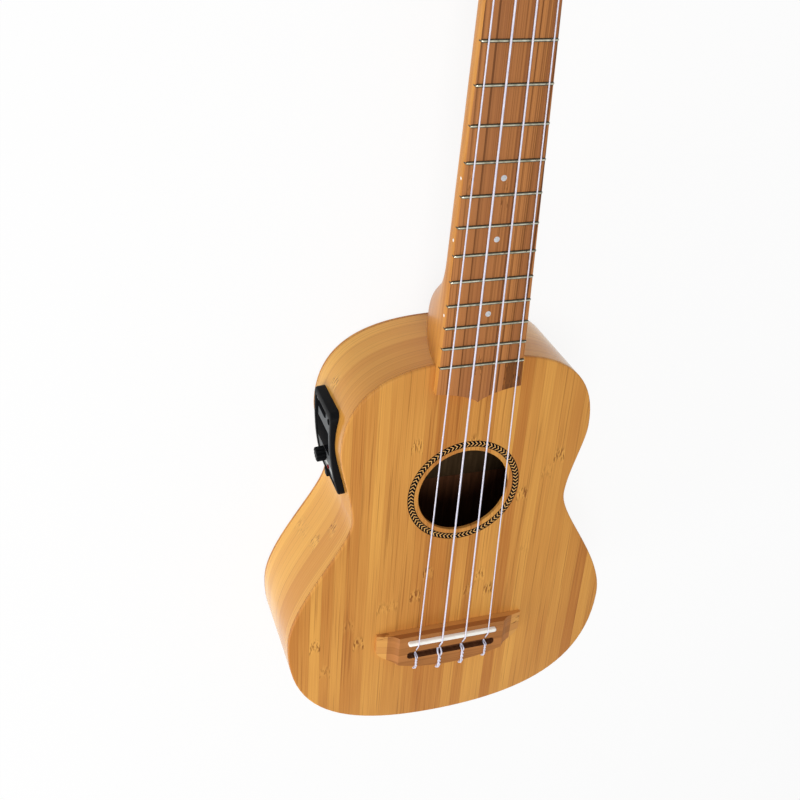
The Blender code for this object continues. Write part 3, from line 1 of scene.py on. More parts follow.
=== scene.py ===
# %% [markdown]
# # A bamboo soprano ukulele
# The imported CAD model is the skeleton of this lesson: it says where every piece sits and what turns.
# Around it we build the pieces that a camera sees, with rounder edges, finer curves and real finishes.
# Everything is in metres, and each piece keeps its place in its mesh, so nothing has to be fitted later.

# %% Load the frame
from functools import partial
from math import acos, atan, atan2, copysign, cos, pi, radians, sin, tan, tau

import bmesh
import bpy
from mathutils import Matrix, Vector
from mathutils.geometry import interpolate_bezier


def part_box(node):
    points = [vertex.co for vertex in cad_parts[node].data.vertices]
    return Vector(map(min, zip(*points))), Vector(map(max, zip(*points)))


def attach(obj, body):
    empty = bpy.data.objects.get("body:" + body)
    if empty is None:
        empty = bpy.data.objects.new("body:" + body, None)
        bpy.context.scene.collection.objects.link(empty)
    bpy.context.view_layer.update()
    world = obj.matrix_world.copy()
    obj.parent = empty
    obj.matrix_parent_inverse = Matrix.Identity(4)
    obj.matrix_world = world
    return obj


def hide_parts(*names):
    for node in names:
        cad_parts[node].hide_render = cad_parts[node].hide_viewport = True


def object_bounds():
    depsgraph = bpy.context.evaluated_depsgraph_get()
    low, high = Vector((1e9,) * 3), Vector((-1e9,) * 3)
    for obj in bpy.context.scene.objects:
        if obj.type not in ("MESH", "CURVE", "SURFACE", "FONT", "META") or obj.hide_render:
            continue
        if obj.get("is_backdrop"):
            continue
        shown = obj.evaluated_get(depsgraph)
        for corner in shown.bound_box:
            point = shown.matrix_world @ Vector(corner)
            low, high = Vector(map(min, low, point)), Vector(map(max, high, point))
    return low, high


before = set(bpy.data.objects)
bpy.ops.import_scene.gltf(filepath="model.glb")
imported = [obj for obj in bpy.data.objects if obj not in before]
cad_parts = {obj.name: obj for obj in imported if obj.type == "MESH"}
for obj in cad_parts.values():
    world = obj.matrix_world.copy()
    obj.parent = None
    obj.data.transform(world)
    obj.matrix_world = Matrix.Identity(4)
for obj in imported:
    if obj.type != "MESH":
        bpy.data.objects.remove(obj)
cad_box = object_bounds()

# %% [markdown]
# ## The maker's frame
# A maker measures from the soundboard: X to the treble side, Y from the saddle line towards the nut, Z up.
# The instrument lies on its back, and the body gets shallower towards the neck, so that frame is tilted a
# little. One matrix, PLACE, takes the maker's frame to the floor, and every new piece goes through it.

# %% The maker's frame
SCALE_LENGTH = 0.345
NECK_JOIN = SCALE_LENGTH / 2
BUTT_LENGTH = 0.0647
DEPTH_AT_BUTT = 0.064
DEPTH_AT_NECK = 0.053
BACK_SLOPE = (DEPTH_AT_BUTT - DEPTH_AT_NECK) / (BUTT_LENGTH + NECK_JOIN)
BACK_TILT = atan(BACK_SLOPE)
BACK_CENTRE_Y = (NECK_JOIN - BUTT_LENGTH) / 2


def back_height(y, above=0.0):
    """Height of the back's outer face at y, or of a plane above it."""
    return -DEPTH_AT_BUTT + BACK_SLOPE * (y + BUTT_LENGTH) + above / cos(BACK_TILT)


LIFT = Matrix.Translation((0, -BACK_CENTRE_Y, -back_height(BACK_CENTRE_Y)))
PLACE = Matrix.Rotation(-BACK_TILT, 4, "X") @ LIFT
print("soundboard at", [round(v, 4) for v in PLACE.translation])

# %% [markdown]
# ## Camera
# The photograph looks down on the top from beside the headstock. Its camera was found from the twelve
# frets, whose places follow from the scale length, so the numbers are a place and three directions.

# %% Camera
CAMERA_PLACE = Vector((-0.20198584, 0.43875505, 0.44124911))
CAMERA_RIGHT = Vector((0.948842, 0.063898, 0.309218))
CAMERA_UP = Vector((0.108712, 0.853325, -0.509920))
CAMERA_BACK = Vector((-0.296446, 0.517449, 0.802724))
SENSOR_MM, LENS_MM = 36, 51.2665


def put(name, data):
    made = bpy.data.objects.new(name, data)
    bpy.context.scene.collection.objects.link(made)
    return made


camera = put("camera", bpy.data.cameras.new("camera"))
camera.data.sensor_width, camera.data.lens = SENSOR_MM, LENS_MM
facing = Matrix((CAMERA_RIGHT, CAMERA_UP, CAMERA_BACK)).transposed().to_4x4()
camera.matrix_world = PLACE @ Matrix.Translation(CAMERA_PLACE) @ facing
bpy.context.scene.camera = camera
print("camera is", round(CAMERA_PLACE.length, 3), "m from the saddle")

# %% [markdown]
# ## Colours and nodes
# A colour is written as the sRGB hex value that a colour picker shows, and Blender's sockets want linear
# light, so one function converts. Another adds a node, and feeds it plain values or the outputs of nodes
# that were made before it. A kind in capitals is an operation of the Math node, a name with a capital is a
# socket, and a name without one is a setting.


# %% Colours and nodes
def linear(srgb):
    channels = [int(srgb[i : i + 2], 16) / 255 for i in (0, 2, 4)]
    return [c / 12.92 if c <= 0.04045 else ((c + 0.055) / 1.055) ** 2.4 for c in channels] + [1]


def feed(tree, node, sockets):
    """Gives a node's sockets, by number or name, their values or links."""
    for socket, value in sockets.items():
        if isinstance(value, bpy.types.NodeSocket):
            tree.links.new(value, node.inputs[socket])
        else:
            node.inputs[socket].default_value = value


def add(tree, kind, *feeds, **named):
    """Adds a node and returns its outputs."""
    made = tree.nodes.new("ShaderNode" + ("Math" if kind.isupper() else kind))
    if kind.isupper():
        made.operation = kind
    sockets = dict(enumerate(feeds))
    for name, value in named.items():
        if name[0].isupper():
            sockets[name] = value
        else:
            setattr(made, name, value)
    feed(tree, made, sockets)
    return made.outputs


def finish(name, roughness, **sockets):
    """A new material, what adds a node to it, and what feeds its shader. Sockets are in small letters."""
    material = bpy.data.materials.new(name)
    material.use_nodes = True
    tree = material.node_tree
    shade = partial(feed, tree, tree.nodes["Principled BSDF"])
    shade({"Roughness": roughness})
    shade({socket.replace("_", " ").title().replace("Ior", "IOR"): v for socket, v in sockets.items()})
    return material, partial(add, tree), shade


print("a middle grey, 808080, is", round(linear("808080")[0], 3), "in linear light")

# %% [markdown]
# ## Laminated bamboo
# Bamboo boards are glued up from strips of one width. Each strip comes from another stalk, so its tone
# differs; fibres run along it; and where the stalk had a joint there is a pale scar with short brown
# strokes in it. One function makes all the bamboo here, and the pieces differ in colours and strip width.
# A strip's number is its place divided by the width, rounded down, and it seeds that strip's chances.
# Real fibres are finer than a pixel, so they are drawn coarser, at about half a millimetre.


# %% Laminated bamboo
def bamboo(
    name, light, dark, scar, strip, streak, roughness,
    across=0, attribute=None, scars=0.21, reach=1, **sockets,
):
    """Strips of a width, scars a distance apart, streaks of a strength, and fibres drawn out by a reach."""
    material, node, shade = finish(name, roughness, ior=1.5, specular_ior_level=0.1, **sockets)
    if attribute:
        place = node("Attribute", attribute_name=attribute)["Vector"]
    else:
        place = node("TexCoord")["Object"]
    axes = node("SeparateXYZ", place)
    sideways, lengthways = axes[across], axes[1 - across]
    cell = node("DIVIDE", sideways, strip)[0]
    number = node("FLOOR", cell)[0]
    inside = node("FRACT", cell)[0]
    chance = node("TexWhiteNoise", W=number, noise_dimensions="1D")
    red, green, blue = node("SeparateColor", chance["Color"])[:3]

    # fibres: noise stretched along the strip, so many to the metre across it and along it, as bands
    # 2 mm wide, threads and veins under 1 mm, and short strokes
    fibres = []
    for wide, long in ((560, 6 / reach), (1800, 18 / reach), (1150, 12 / reach), (1400, 240)):
        scale = (wide, long, long) if across == 0 else (long, wide, long)
        stretched = node("VectorMath", place, scale, operation="MULTIPLY")[0]
        fibres.append(node("TexNoise", Vector=stretched, Scale=1.0, Detail=3.0)[0])
    band, thread, vein, stroke = fibres

    # tone: one per strip, drifting along it, with the bands in it and the threads over it
    run = node("MULTIPLY", lengthways, 9 / reach)[0]
    drift = node("TexNoise", Vector=node("CombineXYZ", number, run)[0], Scale=1.0)[0]
    tone = drift
    for part, share in ((red, 0.75), (band, 0.35), (thread, 0.9)):
        tone = node("MULTIPLY_ADD", part, share, tone)[0]
    tone = node("MapRange", tone, 0.95, 2.05, 0, 1)[0]
    line = node("MapRange", vein, 0.38 + streak / 10, 0.34, 0, streak)[0]

    # scars: where the stalk had a joint, a pale patch with short dark strokes in it
    bow = node("SUBTRACT", inside, 0.5)[0]
    edge = node("ABSOLUTE", bow)[0]
    bow = node("MULTIPLY", bow, bow)[0]
    joint = node("MULTIPLY_ADD", lengthways, 1 / scars, green)[0]
    joint = node("MULTIPLY_ADD", bow, 0.06, joint)[0]
    joint = node("FRACT", joint)[0]
    joint = node("SUBTRACT", joint, 0.5)[0]
    joint = node("ABSOLUTE", joint)[0]
    away = node("MULTIPLY", joint, scars)[0]
    near = node("MapRange", away, 0.001, 0.006, 1, 0, interpolation_type="SMOOTHSTEP")[0]
    worn = node("MapRange", blue, 0.1, 0.6, 0, 1)[0]
    near = node("MULTIPLY", near, worn)[0]
    tone = node("MULTIPLY_ADD", near, 0.3, tone)[0]
    dark_stroke = node("MapRange", stroke, 0.5, 0.58, 0, 0.9)[0]
    mark = node("MULTIPLY", near, dark_stroke)[0]

    # glue line: the last fifth of a millimetre on each side of a strip
    glue = node("MapRange", edge, 0.5 - 0.0002 / strip, 0.5, 0, 0.25)[0]
    for other in (glue, line):
        mark = node("MAXIMUM", mark, other)[0]
    colour = node("MixRGB", tone, linear(dark), linear(light), use_clamp=True)[0]
    colour = node("MixRGB", mark, colour, linear(scar))[0]
    rough = node("MapRange", thread, 0.3, 0.7, roughness - 0.05, roughness + 0.07)[0]
    bump = node("Bump", Height=thread, Strength=0.1, Distance=0.0002)[0]
    shade({"Base Color": colour, "Roughness": rough, "Normal": bump})
    return material


# %% Bamboo finishes
# Caramelised bamboo under satin varnish: warm strips, a soft sheen
BAMBOO_TOP = bamboo("bamboo top, satin varnish", "E0A351", "B67234", "80481E", 0.0062, 0.4, 0.38)
BAMBOO_BACK = bamboo("bamboo back, satin varnish", "E0A351", "B67234", "80481E", 0.0064, 0.4, 0.38)
# The sides are bent from a thin sheet whose fibres follow the rim, so they read the rim's own measure; gloss
# varnish gives them a brighter, sharper shine than the top's
BAMBOO_SIDE = bamboo(
    "bamboo side, gloss varnish", "F0B95A", "CA883A", "945A2A", 0.0072, 0.4, 0.2, 1, "rim",
    reach=2, coat_weight=0.25,
)
# Dark carbonised bamboo, oiled: brown with darker streaks, and a stretch of knots at one corner
BAMBOO_BOARD = bamboo(
    "bamboo fretboard, oiled", "C6844A", "99613A", "643A1C", 0.0034, 0.95, 0.42, scars=0.6, reach=7
)
BAMBOO_KNOTS = bamboo(
    "bamboo fretboard knots, oiled", "8E5628", "70421E", "3C2210", 0.0034, 0.7, 0.42, scars=0.011
)
# The bridge is glued up from two layers: carbonised bamboo on a paler one, and its wings show the paler
BAMBOO_BRIDGE = bamboo("bamboo bridge, oiled", "B97A43", "9C6433", "6A3E1C", 0.005, 0.5, 0.42, 1)
BAMBOO_WING = bamboo("bamboo bridge base, oiled", "DEA356", "C8894A", "8A5022", 0.005, 0.2, 0.42, 1)
print(len(bpy.data.materials), "materials so far")

# %% [markdown]
# ## Other timber
# The neck is a plain reddish timber under gloss varnish, and the pieces inside the body are spruce, darkened
# as painted shade.
# Both are one colour with long fibres: a noise that is stretched along the grain, drawn coarser than real
# pores so that it is seen.


# %% Other timber
def timber(name, light, dark, roughness, coat):
    material, node, shade = finish(name, roughness, ior=1.5, specular_ior_level=0.1, coat_weight=coat)
    place = node("TexCoord")["Object"]
    place = node("Mapping", place, (0, 0, 0), (-BACK_TILT, 0, 0), vector_type="TEXTURE")[0]
    grain = node("VectorMath", place, (420, 14, 420), operation="MULTIPLY")[0]
    band = node("TexNoise", Vector=grain, Scale=1.0, Detail=3.0)[0]
    pores = node("VectorMath", place, (2600, 90, 2600), operation="MULTIPLY")[0]
    pore = node("TexNoise", Vector=pores, Scale=1.0, Detail=2.0)[0]
    mixed = node("MULTIPLY_ADD", pore, 0.4, band)[0]
    tone = node("MapRange", mixed, 0.5, 0.95, 0, 1)[0]
    colour = node("MixRGB", tone, linear(dark), linear(light))[0]
    bump = node("Bump", Height=pore, Strength=0.05, Distance=0.0001)[0]
    shade({"Base Color": colour, "Normal": bump})
    return material


# A warm, even brown with a thin clear shine over it
NECK_TIMBER = timber("neck timber, gloss varnish", "DA9A4A", "BE7A34", 0.3, 0.06)
# Spruce coloured dark brown as painted shade for the pieces inside the body: dull, with no highlight
SPRUCE_PAINTED_SHADE = timber("spruce, darkened as painted shade", "54402A", "3E2D1B", 0.75, 0.0)
# Painted shade on the boards' inner faces and in the bridge's trench, so that the soundhole reads as a deep
# opening
PAINTED_SHADE = timber("bamboo, dark stain inside", "74482E", "55331F", 0.7, 0.0)
print(len(bpy.data.materials), "materials so far")

# %% [markdown]
# ## Rosette
# The ring round the soundhole is an inlaid strip of herringbone: short dark strokes that lean one way in
# the outer half and the other way in the inner half. The pattern turns with the ring, so the shader works
# out each point's angle and radius about the hole's centre.

# %% Herringbone finish
SOUNDHOLE_Y = 0.094
SOUNDHOLE_RADIUS = 0.0249
ROSETTE_INNER = SOUNDHOLE_RADIUS + 0.0024
ROSETTE_OUTER = ROSETTE_INNER + 0.0036
CHEVRONS, CHEVRON_LEAN = 84, -0.8
# Black and pale strokes, edged in black, under the top's satin varnish: crisp, with hardly any shine
HERRINGBONE, node, shade = finish(
    "herringbone inlay, satin varnish", 0.35, ior=1.5, specular_ior_level=0.05
)
place = node("TexCoord")["Object"]
hole_centre = PLACE @ Vector((0, SOUNDHOLE_Y, 0))
place = node("Mapping", place, hole_centre, (-BACK_TILT, 0, 0), vector_type="TEXTURE")[0]
x, y, _ = node("SeparateXYZ", place)
angle = node("ARCTAN2", y, x)[0]
flat = node("CombineXYZ", x, y)[0]
radius = node("VectorMath", flat, operation="LENGTH")["Value"]
across = node("MapRange", radius, ROSETTE_INNER, ROSETTE_OUTER, -1, 1)[0]
lean = node("ABSOLUTE", across)[0]
count = node("MULTIPLY", angle, CHEVRONS / tau)[0]
stroke = node("MULTIPLY_ADD", lean, CHEVRON_LEAN, count)[0]
stroke = node("FRACT", stroke)[0]
stroke = node("MapRange", stroke, 0.7, 0.74, 0, 1)[0]
border = node("MapRange", lean, 0.74, 0.8, 1, 0)[0]
stroke = node("MINIMUM", stroke, border)[0]
shade({"Base Color": node("MixRGB", stroke, linear("060403"), linear("EBB268"))[0]})
print("a chevron every", round(tau * ROSETTE_INNER / CHEVRONS * 1000, 2), "mm round the ring")

# %% [markdown]
# ## Metals, bone, nylon and plastics
# These finishes have little pattern, but none is one flat colour: metal has fine scratches that change its
# roughness, bone and pearl are cloudy, drawn nylon is milky, and moulded plastic has a fine grit.


# %% A cloudy finish
def cloudy(name, light, dark, size, roughness, bump, shine=0.5, **sockets):
    """A finish whose colour and roughness drift over patches of a size in metres."""
    material, node, shade = finish(name, roughness, specular_ior_level=shine, **sockets)
    place = node("TexCoord")["Object"]
    cloud = node("TexNoise", Vector=place, Scale=1 / size, Detail=3.0)[0]
    tone = node("MapRange", cloud, 0.3, 0.7, 0, 1)[0]
    colour = node("MixRGB", tone, linear(dark), linear(light))[0]
    rough = node("MapRange", cloud, 0.3, 0.7, roughness * 1.25, roughness * 0.8)[0]
    height = node("Bump", Height=cloud, Strength=bump, Distance=0.0001)[0]
    shade({"Base Color": colour, "Roughness": rough, "Normal": height})
    return material


# %% Metals, bone, nylon and plastics
# Bright metal with soft-edged reflections; a fret's crown is a little yellower and worn in patches
NICKEL = cloudy("nickel silver, polished", "C6C6C0", "A6A69E", 0.0006, 0.24, 0.02, metallic=1.0)
CROWN = cloudy("nickel silver, fret crown", "D0CFBC", "8E8C78", 0.0022, 0.3, 0.02, metallic=1.0)
# Dark, dull metal: painted dark reflection on a crown's flanks, and tarnish on a tang's end
TARNISH_AND_PAINTED_REFLECTION = cloudy("nickel silver, tarnished, painted dark reflection", "5E594A", "454034", 0.0008, 0.5, 0.05, metallic=1.0)
# Yellow metal with a blurred shine
BRASS = cloudy("brass strip, bare", "C2A25C", "A5853F", 0.001, 0.35, 0.05, metallic=1.0)
# Nearly white, warm, with a small clear highlight
BONE = cloudy("bone, polished", "FFFEF8", "F6F4EC", 0.002, 0.32, 0.02, ior=1.54)
# Cool grey that changes from patch to patch, and glossy
PEARL = cloudy("pearl, polished", "D6D8DA", "AAAEB4", 0.0009, 0.2, 0.0, ior=1.53)
# Milky white with a trace of blue, and a fine bright line along the string
NYLON = cloudy("nylon, drawn", "E6E4F2", "D2D0E4", 0.003, 0.28, 0.02, ior=1.53)
# Moulded black with a faint broad sheen; the matt one stays black even at a flat angle
BLACK_ABS = cloudy("black ABS, fine texture", "17181A", "0D0E0F", 0.0004, 0.42, 0.15, 0.03, ior=1.53)
MATT_ABS = cloudy("black ABS, matt", "17181A", "0D0E0F", 0.0004, 0.6, 0.15, 0.0003, ior=1.53)
# The face's even mid grey, and the paler grey of the plate round the lamp
GREY_ABS = cloudy("grey ABS, fine texture", "66696B", "55585A", 0.0004, 0.5, 0.12, 0.05, ior=1.53)
PALE_ABS = cloudy("pale grey ABS, fine texture", "B2B6B6", "9EA2A2", 0.0004, 0.5, 0.12, 0.1, ior=1.53)
# A display that is off: smooth and black
ACRYLIC = cloudy("black acrylic, smoked", "0D0D0F", "060607", 0.004, 0.12, 0.0, 0.0003, ior=1.49)
# Dull dark grey, as a lead's jacket is
PVC = cloudy("grey PVC, extruded", "5A5856", "474543", 0.0015, 0.5, 0.05, ior=1.53)
# Deep red and smooth, a lamp that is off
RED_LENS = cloudy("red lens, moulded", "8C0E12", "5A060A", 0.001, 0.15, 0.0, 0.02, ior=1.49)
print(len(bpy.data.materials), "materials")

# %% [markdown]
# ## Shapes from loops
# Most pieces here are skins over loops: draw a loop of points, extrude its edges, and move the new points to
# the next loop. Extruding keeps each point beside the one that it came from, where bridging two loops may
# twist them. One function makes a piece of a finished bmesh: it moves it to its place, welds it, turns its
# faces outwards, shades it and puts it on its body.

# %% Skins
WELD = 1e-6


def loop(bm, points, closed=True):
    verts = [bm.verts.new(p) for p in points]
    pairs = zip(verts, verts[1:] + verts[:1] if closed else verts[1:])
    return [bm.edges.new(pair) for pair in pairs]


def skin(loops, caps=False, ring=False):
    """Extrudes a loop of points to the next, and so on. The ends are capped, joined into a ring, or open."""
    bm = bmesh.new()
    edges = first = loop(bm, loops[0])
    row = [edge.verts[0] for edge in edges]
    for points in [*loops[1:], *loops[:1]] if ring else loops[1:]:
        made = bmesh.ops.extrude_edge_only(bm, edges=edges)["geom"]
        fresh = {item for item in made if isinstance(item, bmesh.types.BMVert)}
        row = [next(e.other_vert(v) for e in v.link_edges if e.other_vert(v) in fresh) for v in row]
        for vert, point in zip(row, points):
            vert.co = point
        edges = [e for e in made if isinstance(e, bmesh.types.BMEdge) and fresh.issuperset(e.verts)]
    if caps:
        bmesh.ops.contextual_create(bm, geom=first)
        bmesh.ops.contextual_create(bm, geom=edges)
    return bm


def weld(bm):
    """Joins points that coincide, and turns the faces outwards."""
    bmesh.ops.remove_doubles(bm, verts=bm.verts, dist=WELD)
    bmesh.ops.recalc_face_normals(bm, faces=bm.faces)


def round_edges(bm, edges, width, segments):
    shape = {"offset": width, "segments": segments, "profile": 0.5}
    bmesh.ops.bevel(bm, geom=edges, affect="EDGES", material=-1, **shape)


def cut(bm, spot, normal, **options):
    """Cuts every face along a plane, and returns what lies in the cut."""
    everything = [*bm.verts, *bm.edges, *bm.faces]
    made = bmesh.ops.bisect_plane(bm, geom=everything, plane_co=spot, plane_no=normal, **options)
    return made["geom_cut"]


def move(bm, matrix):
    bmesh.ops.transform(bm, matrix=matrix, verts=bm.verts)
    return bm


# %% Pieces
def mesh_from(bm, name, finishes=()):
    mesh = bpy.data.meshes.new(name)
    bm.to_mesh(mesh)
    bm.free()
    for material in finishes:
        mesh.materials.append(material)
    return mesh


def piece(name, bm, finishes, body="instrument", stands_for="", sharp=35, place=PLACE):
    """A piece on its body. It replaces the CAD node that it stands for, or that its name is made from."""
    weld(move(bm, place))
    mesh = mesh_from(bm, name, finishes)
    mesh.shade_smooth()
    mesh.set_sharp_from_angle(angle=radians(sharp))
    made = put(name, mesh)
    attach(made, body)
    node = stands_for or name.removesuffix("_look")
    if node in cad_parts:
        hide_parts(node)
    print(f"{name}: {len(mesh.polygons)} faces")
    return made


# %% Curves and circles
def bezier(knots, steps):
    """Points along knots of (place, handle back, handle on), each handle an offset from its place."""
    points = []
    for (start, _, leave), (end, arrive, _) in zip(knots, knots[1:]):
        a, b = Vector((*start, 0)), Vector((*end, 0))
        span = interpolate_bezier(a, a + Vector((*leave, 0)), b + Vector((*arrive, 0)), b, steps + 1)
        points += [p.xy for p in span[:-1]]
    return points + [Vector(knots[-1][0])]


def crossing(points, at, axis=1):
    """Where a chain of points reaches a place on one axis: its place on the other axis."""
    for a, b in zip(points, points[1:]):
        low, high = sorted((a[axis], b[axis]))
        if low <= at <= high:
            return a[1 - axis] + (b[1 - axis] - a[1 - axis]) * (at - a[axis]) / (b[axis] - a[axis])
    return 0.0


def mirrored(points):
    """The same points on the other hand, in the reverse order."""
    return [Vector((-x, y)) for x, y in reversed(points)]


def at_height(points, z):
    return [(x, y, z) for x, y in points]


def circle(radius, steps, start=-pi / 2):
    turns = [start + tau * i / steps for i in range(steps)]
    return [(radius * cos(a), radius * sin(a)) for a in turns]


# %% [markdown]
# ## Soundboard
# The top is a 2 mm board with the outline of a small guitar, a round hole, a channel for the rosette and
# rounded edges. Its outline is four spans of curve per side. The skin runs from the underside's edge over
# the rounded arris, across the top to the rosette's channel, and down through the hole.

# %% Soundboard
OUTLINE_STEPS = 24
TOP_THICKNESS = 0.002
ARRIS, HOLE_ARRIS = 0.0009, 0.0003
ROSETTE_DEPTH = 0.0009
GLUE = 0.00012
OUTLINE_KNOTS = [
    ((0, -BUTT_LENGTH), (0, 0), (0.0509, 0)),
    ((0.0922, 0.005), (0, -0.0549), (0, 0.0281)),
    ((0.0595, 0.0824), (0, -0.016), (0, 0.0143)),
    ((0.0673, 0.1253), (0, -0.0113), (0, 0.0414)),
    ((0, NECK_JOIN), (0.0332, 0), (0, 0)),
]
HALF_OUTLINE = bezier(OUTLINE_KNOTS, OUTLINE_STEPS)
OUTLINE = HALF_OUTLINE + mirrored(HALF_OUTLINE[1:-1])


def body_loop(inset=0.0):
    moved = []
    for i, point in enumerate(OUTLINE):
        along = (OUTLINE[(i + 1) % len(OUTLINE)] - OUTLINE[i - 1]).normalized()
        moved.append(point + inset * Vector((-along.y, along.x)))
    return moved


def hole_ring(radius, z):
    """A ring round the hole, each point towards the outline's point that it will be joined to."""
    centre = Vector((0, SOUNDHOLE_Y))
    return at_height([centre + radius * (p - centre).normalized() for p in OUTLINE], z)


def arris_loops(z_at, radius, steps=3):
    """Loops over a rounded edge, from the side to the flat. z_at gives the height for a depth below it."""
    for turn in [pi / 2 * i / steps for i in range(steps + 1)]:
        inset, depth = radius * (1 - cos(turn)), radius * (1 - sin(turn))
        yield [(p.x, p.y, z_at(p.y, depth)) for p in body_loop(inset)]


def inner_faces(bm, inward):
    """Gives the second finish, painted shade, to the faces that look into the body."""
    weld(bm)
    for face in bm.faces:
        face.material_index = int(face.normal.dot(Vector(inward)) > 0.9)


flank = [at_height(OUTLINE, -TOP_THICKNESS), *arris_loops(lambda y, depth: -depth, ARRIS)]
rings = [
    (ROSETTE_OUTER, 0), (ROSETTE_OUTER, -ROSETTE_DEPTH), (ROSETTE_INNER, -ROSETTE_DEPTH), (ROSETTE_INNER, 0),
    (SOUNDHOLE_RADIUS + HOLE_ARRIS, 0), (SOUNDHOLE_RADIUS, -HOLE_ARRIS), (SOUNDHOLE_RADIUS, -TOP_THICKNESS),
]
board = skin(flank + [hole_ring(*ring) for ring in rings], ring=True)
# the underside takes the dark finish: painted shade inside the body
inner_faces(board, (0, 0, -1))
piece("soundboard_look", board, [BAMBOO_TOP, PAINTED_SHADE])
inner, outer, seat = ROSETTE_INNER + GLUE / 2, ROSETTE_OUTER - GLUE / 2, -ROSETTE_DEPTH + GLUE
rings = [(inner, seat), (inner, 0), (outer, 0), (outer, seat)]
inlay = skin([hole_ring(*ring) for ring in rings], ring=True)
piece("rosette_look", inlay, [HERRINGBONE])

# %% [markdown]
# ## Back
# The back is a flat board like the top without its hole. It lies along the tilted plane under the body,
# so its heights depend on y. Under the hole a strip of spruce is glued across it, and is just seen inside.

# %% Back
BACK_THICKNESS = 0.002
STRIP_SIZE, STRIP_Y, STRIP_SOFT = (0.1, 0.019, 0.0022), 0.0735, 0.0008


def block(size, soft, segments):
    bm = bmesh.new()
    bmesh.ops.create_cube(bm, size=1)
    bmesh.ops.scale(bm, vec=size, verts=bm.verts)
    round_edges(bm, bm.edges[:], soft, segments)
    return bm


inner_edge = [(p.x, p.y, back_height(p.y, BACK_THICKNESS)) for p in OUTLINE]
plank = skin([inner_edge, *arris_loops(back_height, ARRIS)], caps=True)
# the inner face takes the dark finish: painted shade inside the body
inner_faces(plank, (0, 0, 1))
piece("back_look", plank, [BAMBOO_BACK, PAINTED_SHADE], stands_for="back_plate")
strip_height = back_height(STRIP_Y, BACK_THICKNESS + STRIP_SIZE[2] / 2)
lay = Matrix.Translation((0, STRIP_Y, strip_height)) @ Matrix.Rotation(BACK_TILT, 4, "X")
piece("back_strip", block(STRIP_SIZE, STRIP_SOFT, 3), [SPRUCE_PAINTED_SHADE], place=PLACE @ lay)

# %% [markdown]
# ## Sides
# Two thin sheets of bamboo are bent round the outline and meet at the tail and under the heel. A chain of
# edges along the rim is extruded down to the back and given its thickness. The bamboo's fibres follow the
# bend, so each point keeps its distance along the rim in an attribute that the finish reads. The bass side
# has a window for the preamp: four cuts, and what lies inside them is deleted.

# %% The preamp's place
PREAMP_LENGTH, PREAMP_WIDTH, PREAMP_RAIL = 0.049, 0.033, 0.0032
PREAMP_Y, PREAMP_BELOW_TOP, PREAMP_PROUD = 0.1165, 0.028, 0.0024


def preamp_matrix():
    """The preamp's frame: X along the body, Y down its side, Z outwards, and its face at Z = 0."""
    low, high = PREAMP_Y - PREAMP_LENGTH / 2, PREAMP_Y + PREAMP_LENGTH / 2
    start, end = (Vector((-crossing(HALF_OUTLINE, y), y)) for y in (low, high))
    along = (end - start).normalized()
    out = Vector((-along.y, along.x))
    crest = max((Vector((-p.x, p.y)) - start).dot(out) for p in HALF_OUTLINE if low < p.y < high)
    face = (start + end) / 2 + out * (crest + PREAMP_PROUD)
    axes = Matrix(((along.x, 0, out.x), (along.y, 0, out.y), (0, -1, 0)))
    return Matrix.Translation((face.x, face.y, -PREAMP_BELOW_TOP)) @ axes.to_4x4()


PREAMP = preamp_matrix()
print("preamp at", [round(v, 4) for v in PREAMP.translation])

# %% Sides
SIDE_THICKNESS = 0.0019
SIDE_TOP = -TOP_THICKNESS - GLUE


def cut_window(bm, length, width):
    """Cuts a rectangle out of the side, in the preamp's frame."""
    for axis, reach in zip(PREAMP.to_3x3().col, (length / 2, width / 2)):
        for hand in (-1, 1):
            cut(bm, PREAMP.translation + hand * reach * axis, axis)
    inverse = PREAMP.inverted()
    inside = []
    for face in bm.faces:
        x, y, z = inverse @ face.calc_center_median()
        if max(abs(x), abs(z)) < length / 2 and abs(y) < width / 2:
            inside.append(face)
    bmesh.ops.delete(bm, geom=inside, context="FACES")


def bent_side(hand):
    bm = bmesh.new()
    rim = bm.verts.layers.float_vector.new("rim")
    points = [(hand * max(p.x, GLUE / 2), p.y, SIDE_TOP) for p in HALF_OUTLINE]
    chain = loop(bm, points, closed=False)
    run = 0.5 * (1 + hand)  # each side reads another stretch of the pattern
    bm.verts.ensure_lookup_table()
    for before, vert in zip([bm.verts[0], *bm.verts], bm.verts):
        run += (vert.co - before.co).length
        vert[rim].x = run
    for vert in bmesh.ops.extrude_edge_only(bm, edges=chain)["geom"]:
        if isinstance(vert, bmesh.types.BMVert):
            vert.co.z = back_height(vert.co.y, BACK_THICKNESS + GLUE)
    if hand < 0:
        cut_window(bm, PREAMP_LENGTH - 2 * PREAMP_RAIL, PREAMP_WIDTH - 2 * PREAMP_RAIL)
    bmesh.ops.recalc_face_normals(bm, faces=bm.faces)
    if sum(f.normal.dot(f.calc_center_median()) for f in bm.faces) < 0:
        bmesh.ops.reverse_faces(bm, faces=bm.faces)
    bmesh.ops.solidify(bm, geom=bm.faces, thickness=SIDE_THICKNESS)
    for vert in bm.verts:
        vert[rim].y = vert.co.z
    # the inner face takes the dark finish: painted shade inside the body
    for face in bm.faces:
        x, y, _ = face.calc_center_median()
        face.material_index = int(crossing(HALF_OUTLINE, y) - abs(x) > SIDE_THICKNESS / 2)
    return bm


for name, hand in (("bass_side", -1), ("treble_side", 1)):
    piece(name + "_look", bent_side(hand), [BAMBOO_SIDE, PAINTED_SHADE])
    print(name, [round(v, 4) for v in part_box(name)[0]])

# %% [markdown]
# ## Inside the body
# Linings, blocks and braces only just show through the soundhole. The CAD solids are the right shape, so
# they stay and get their timber.

# %% Inside the body
INSIDE = [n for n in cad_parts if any(word in n for word in ("lining", "block", "brace", "patch"))]
for name in INSIDE:
    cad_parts[name].data.materials[0] = SPRUCE_PAINTED_SHADE
print(len(INSIDE), "inner pieces in spruce")

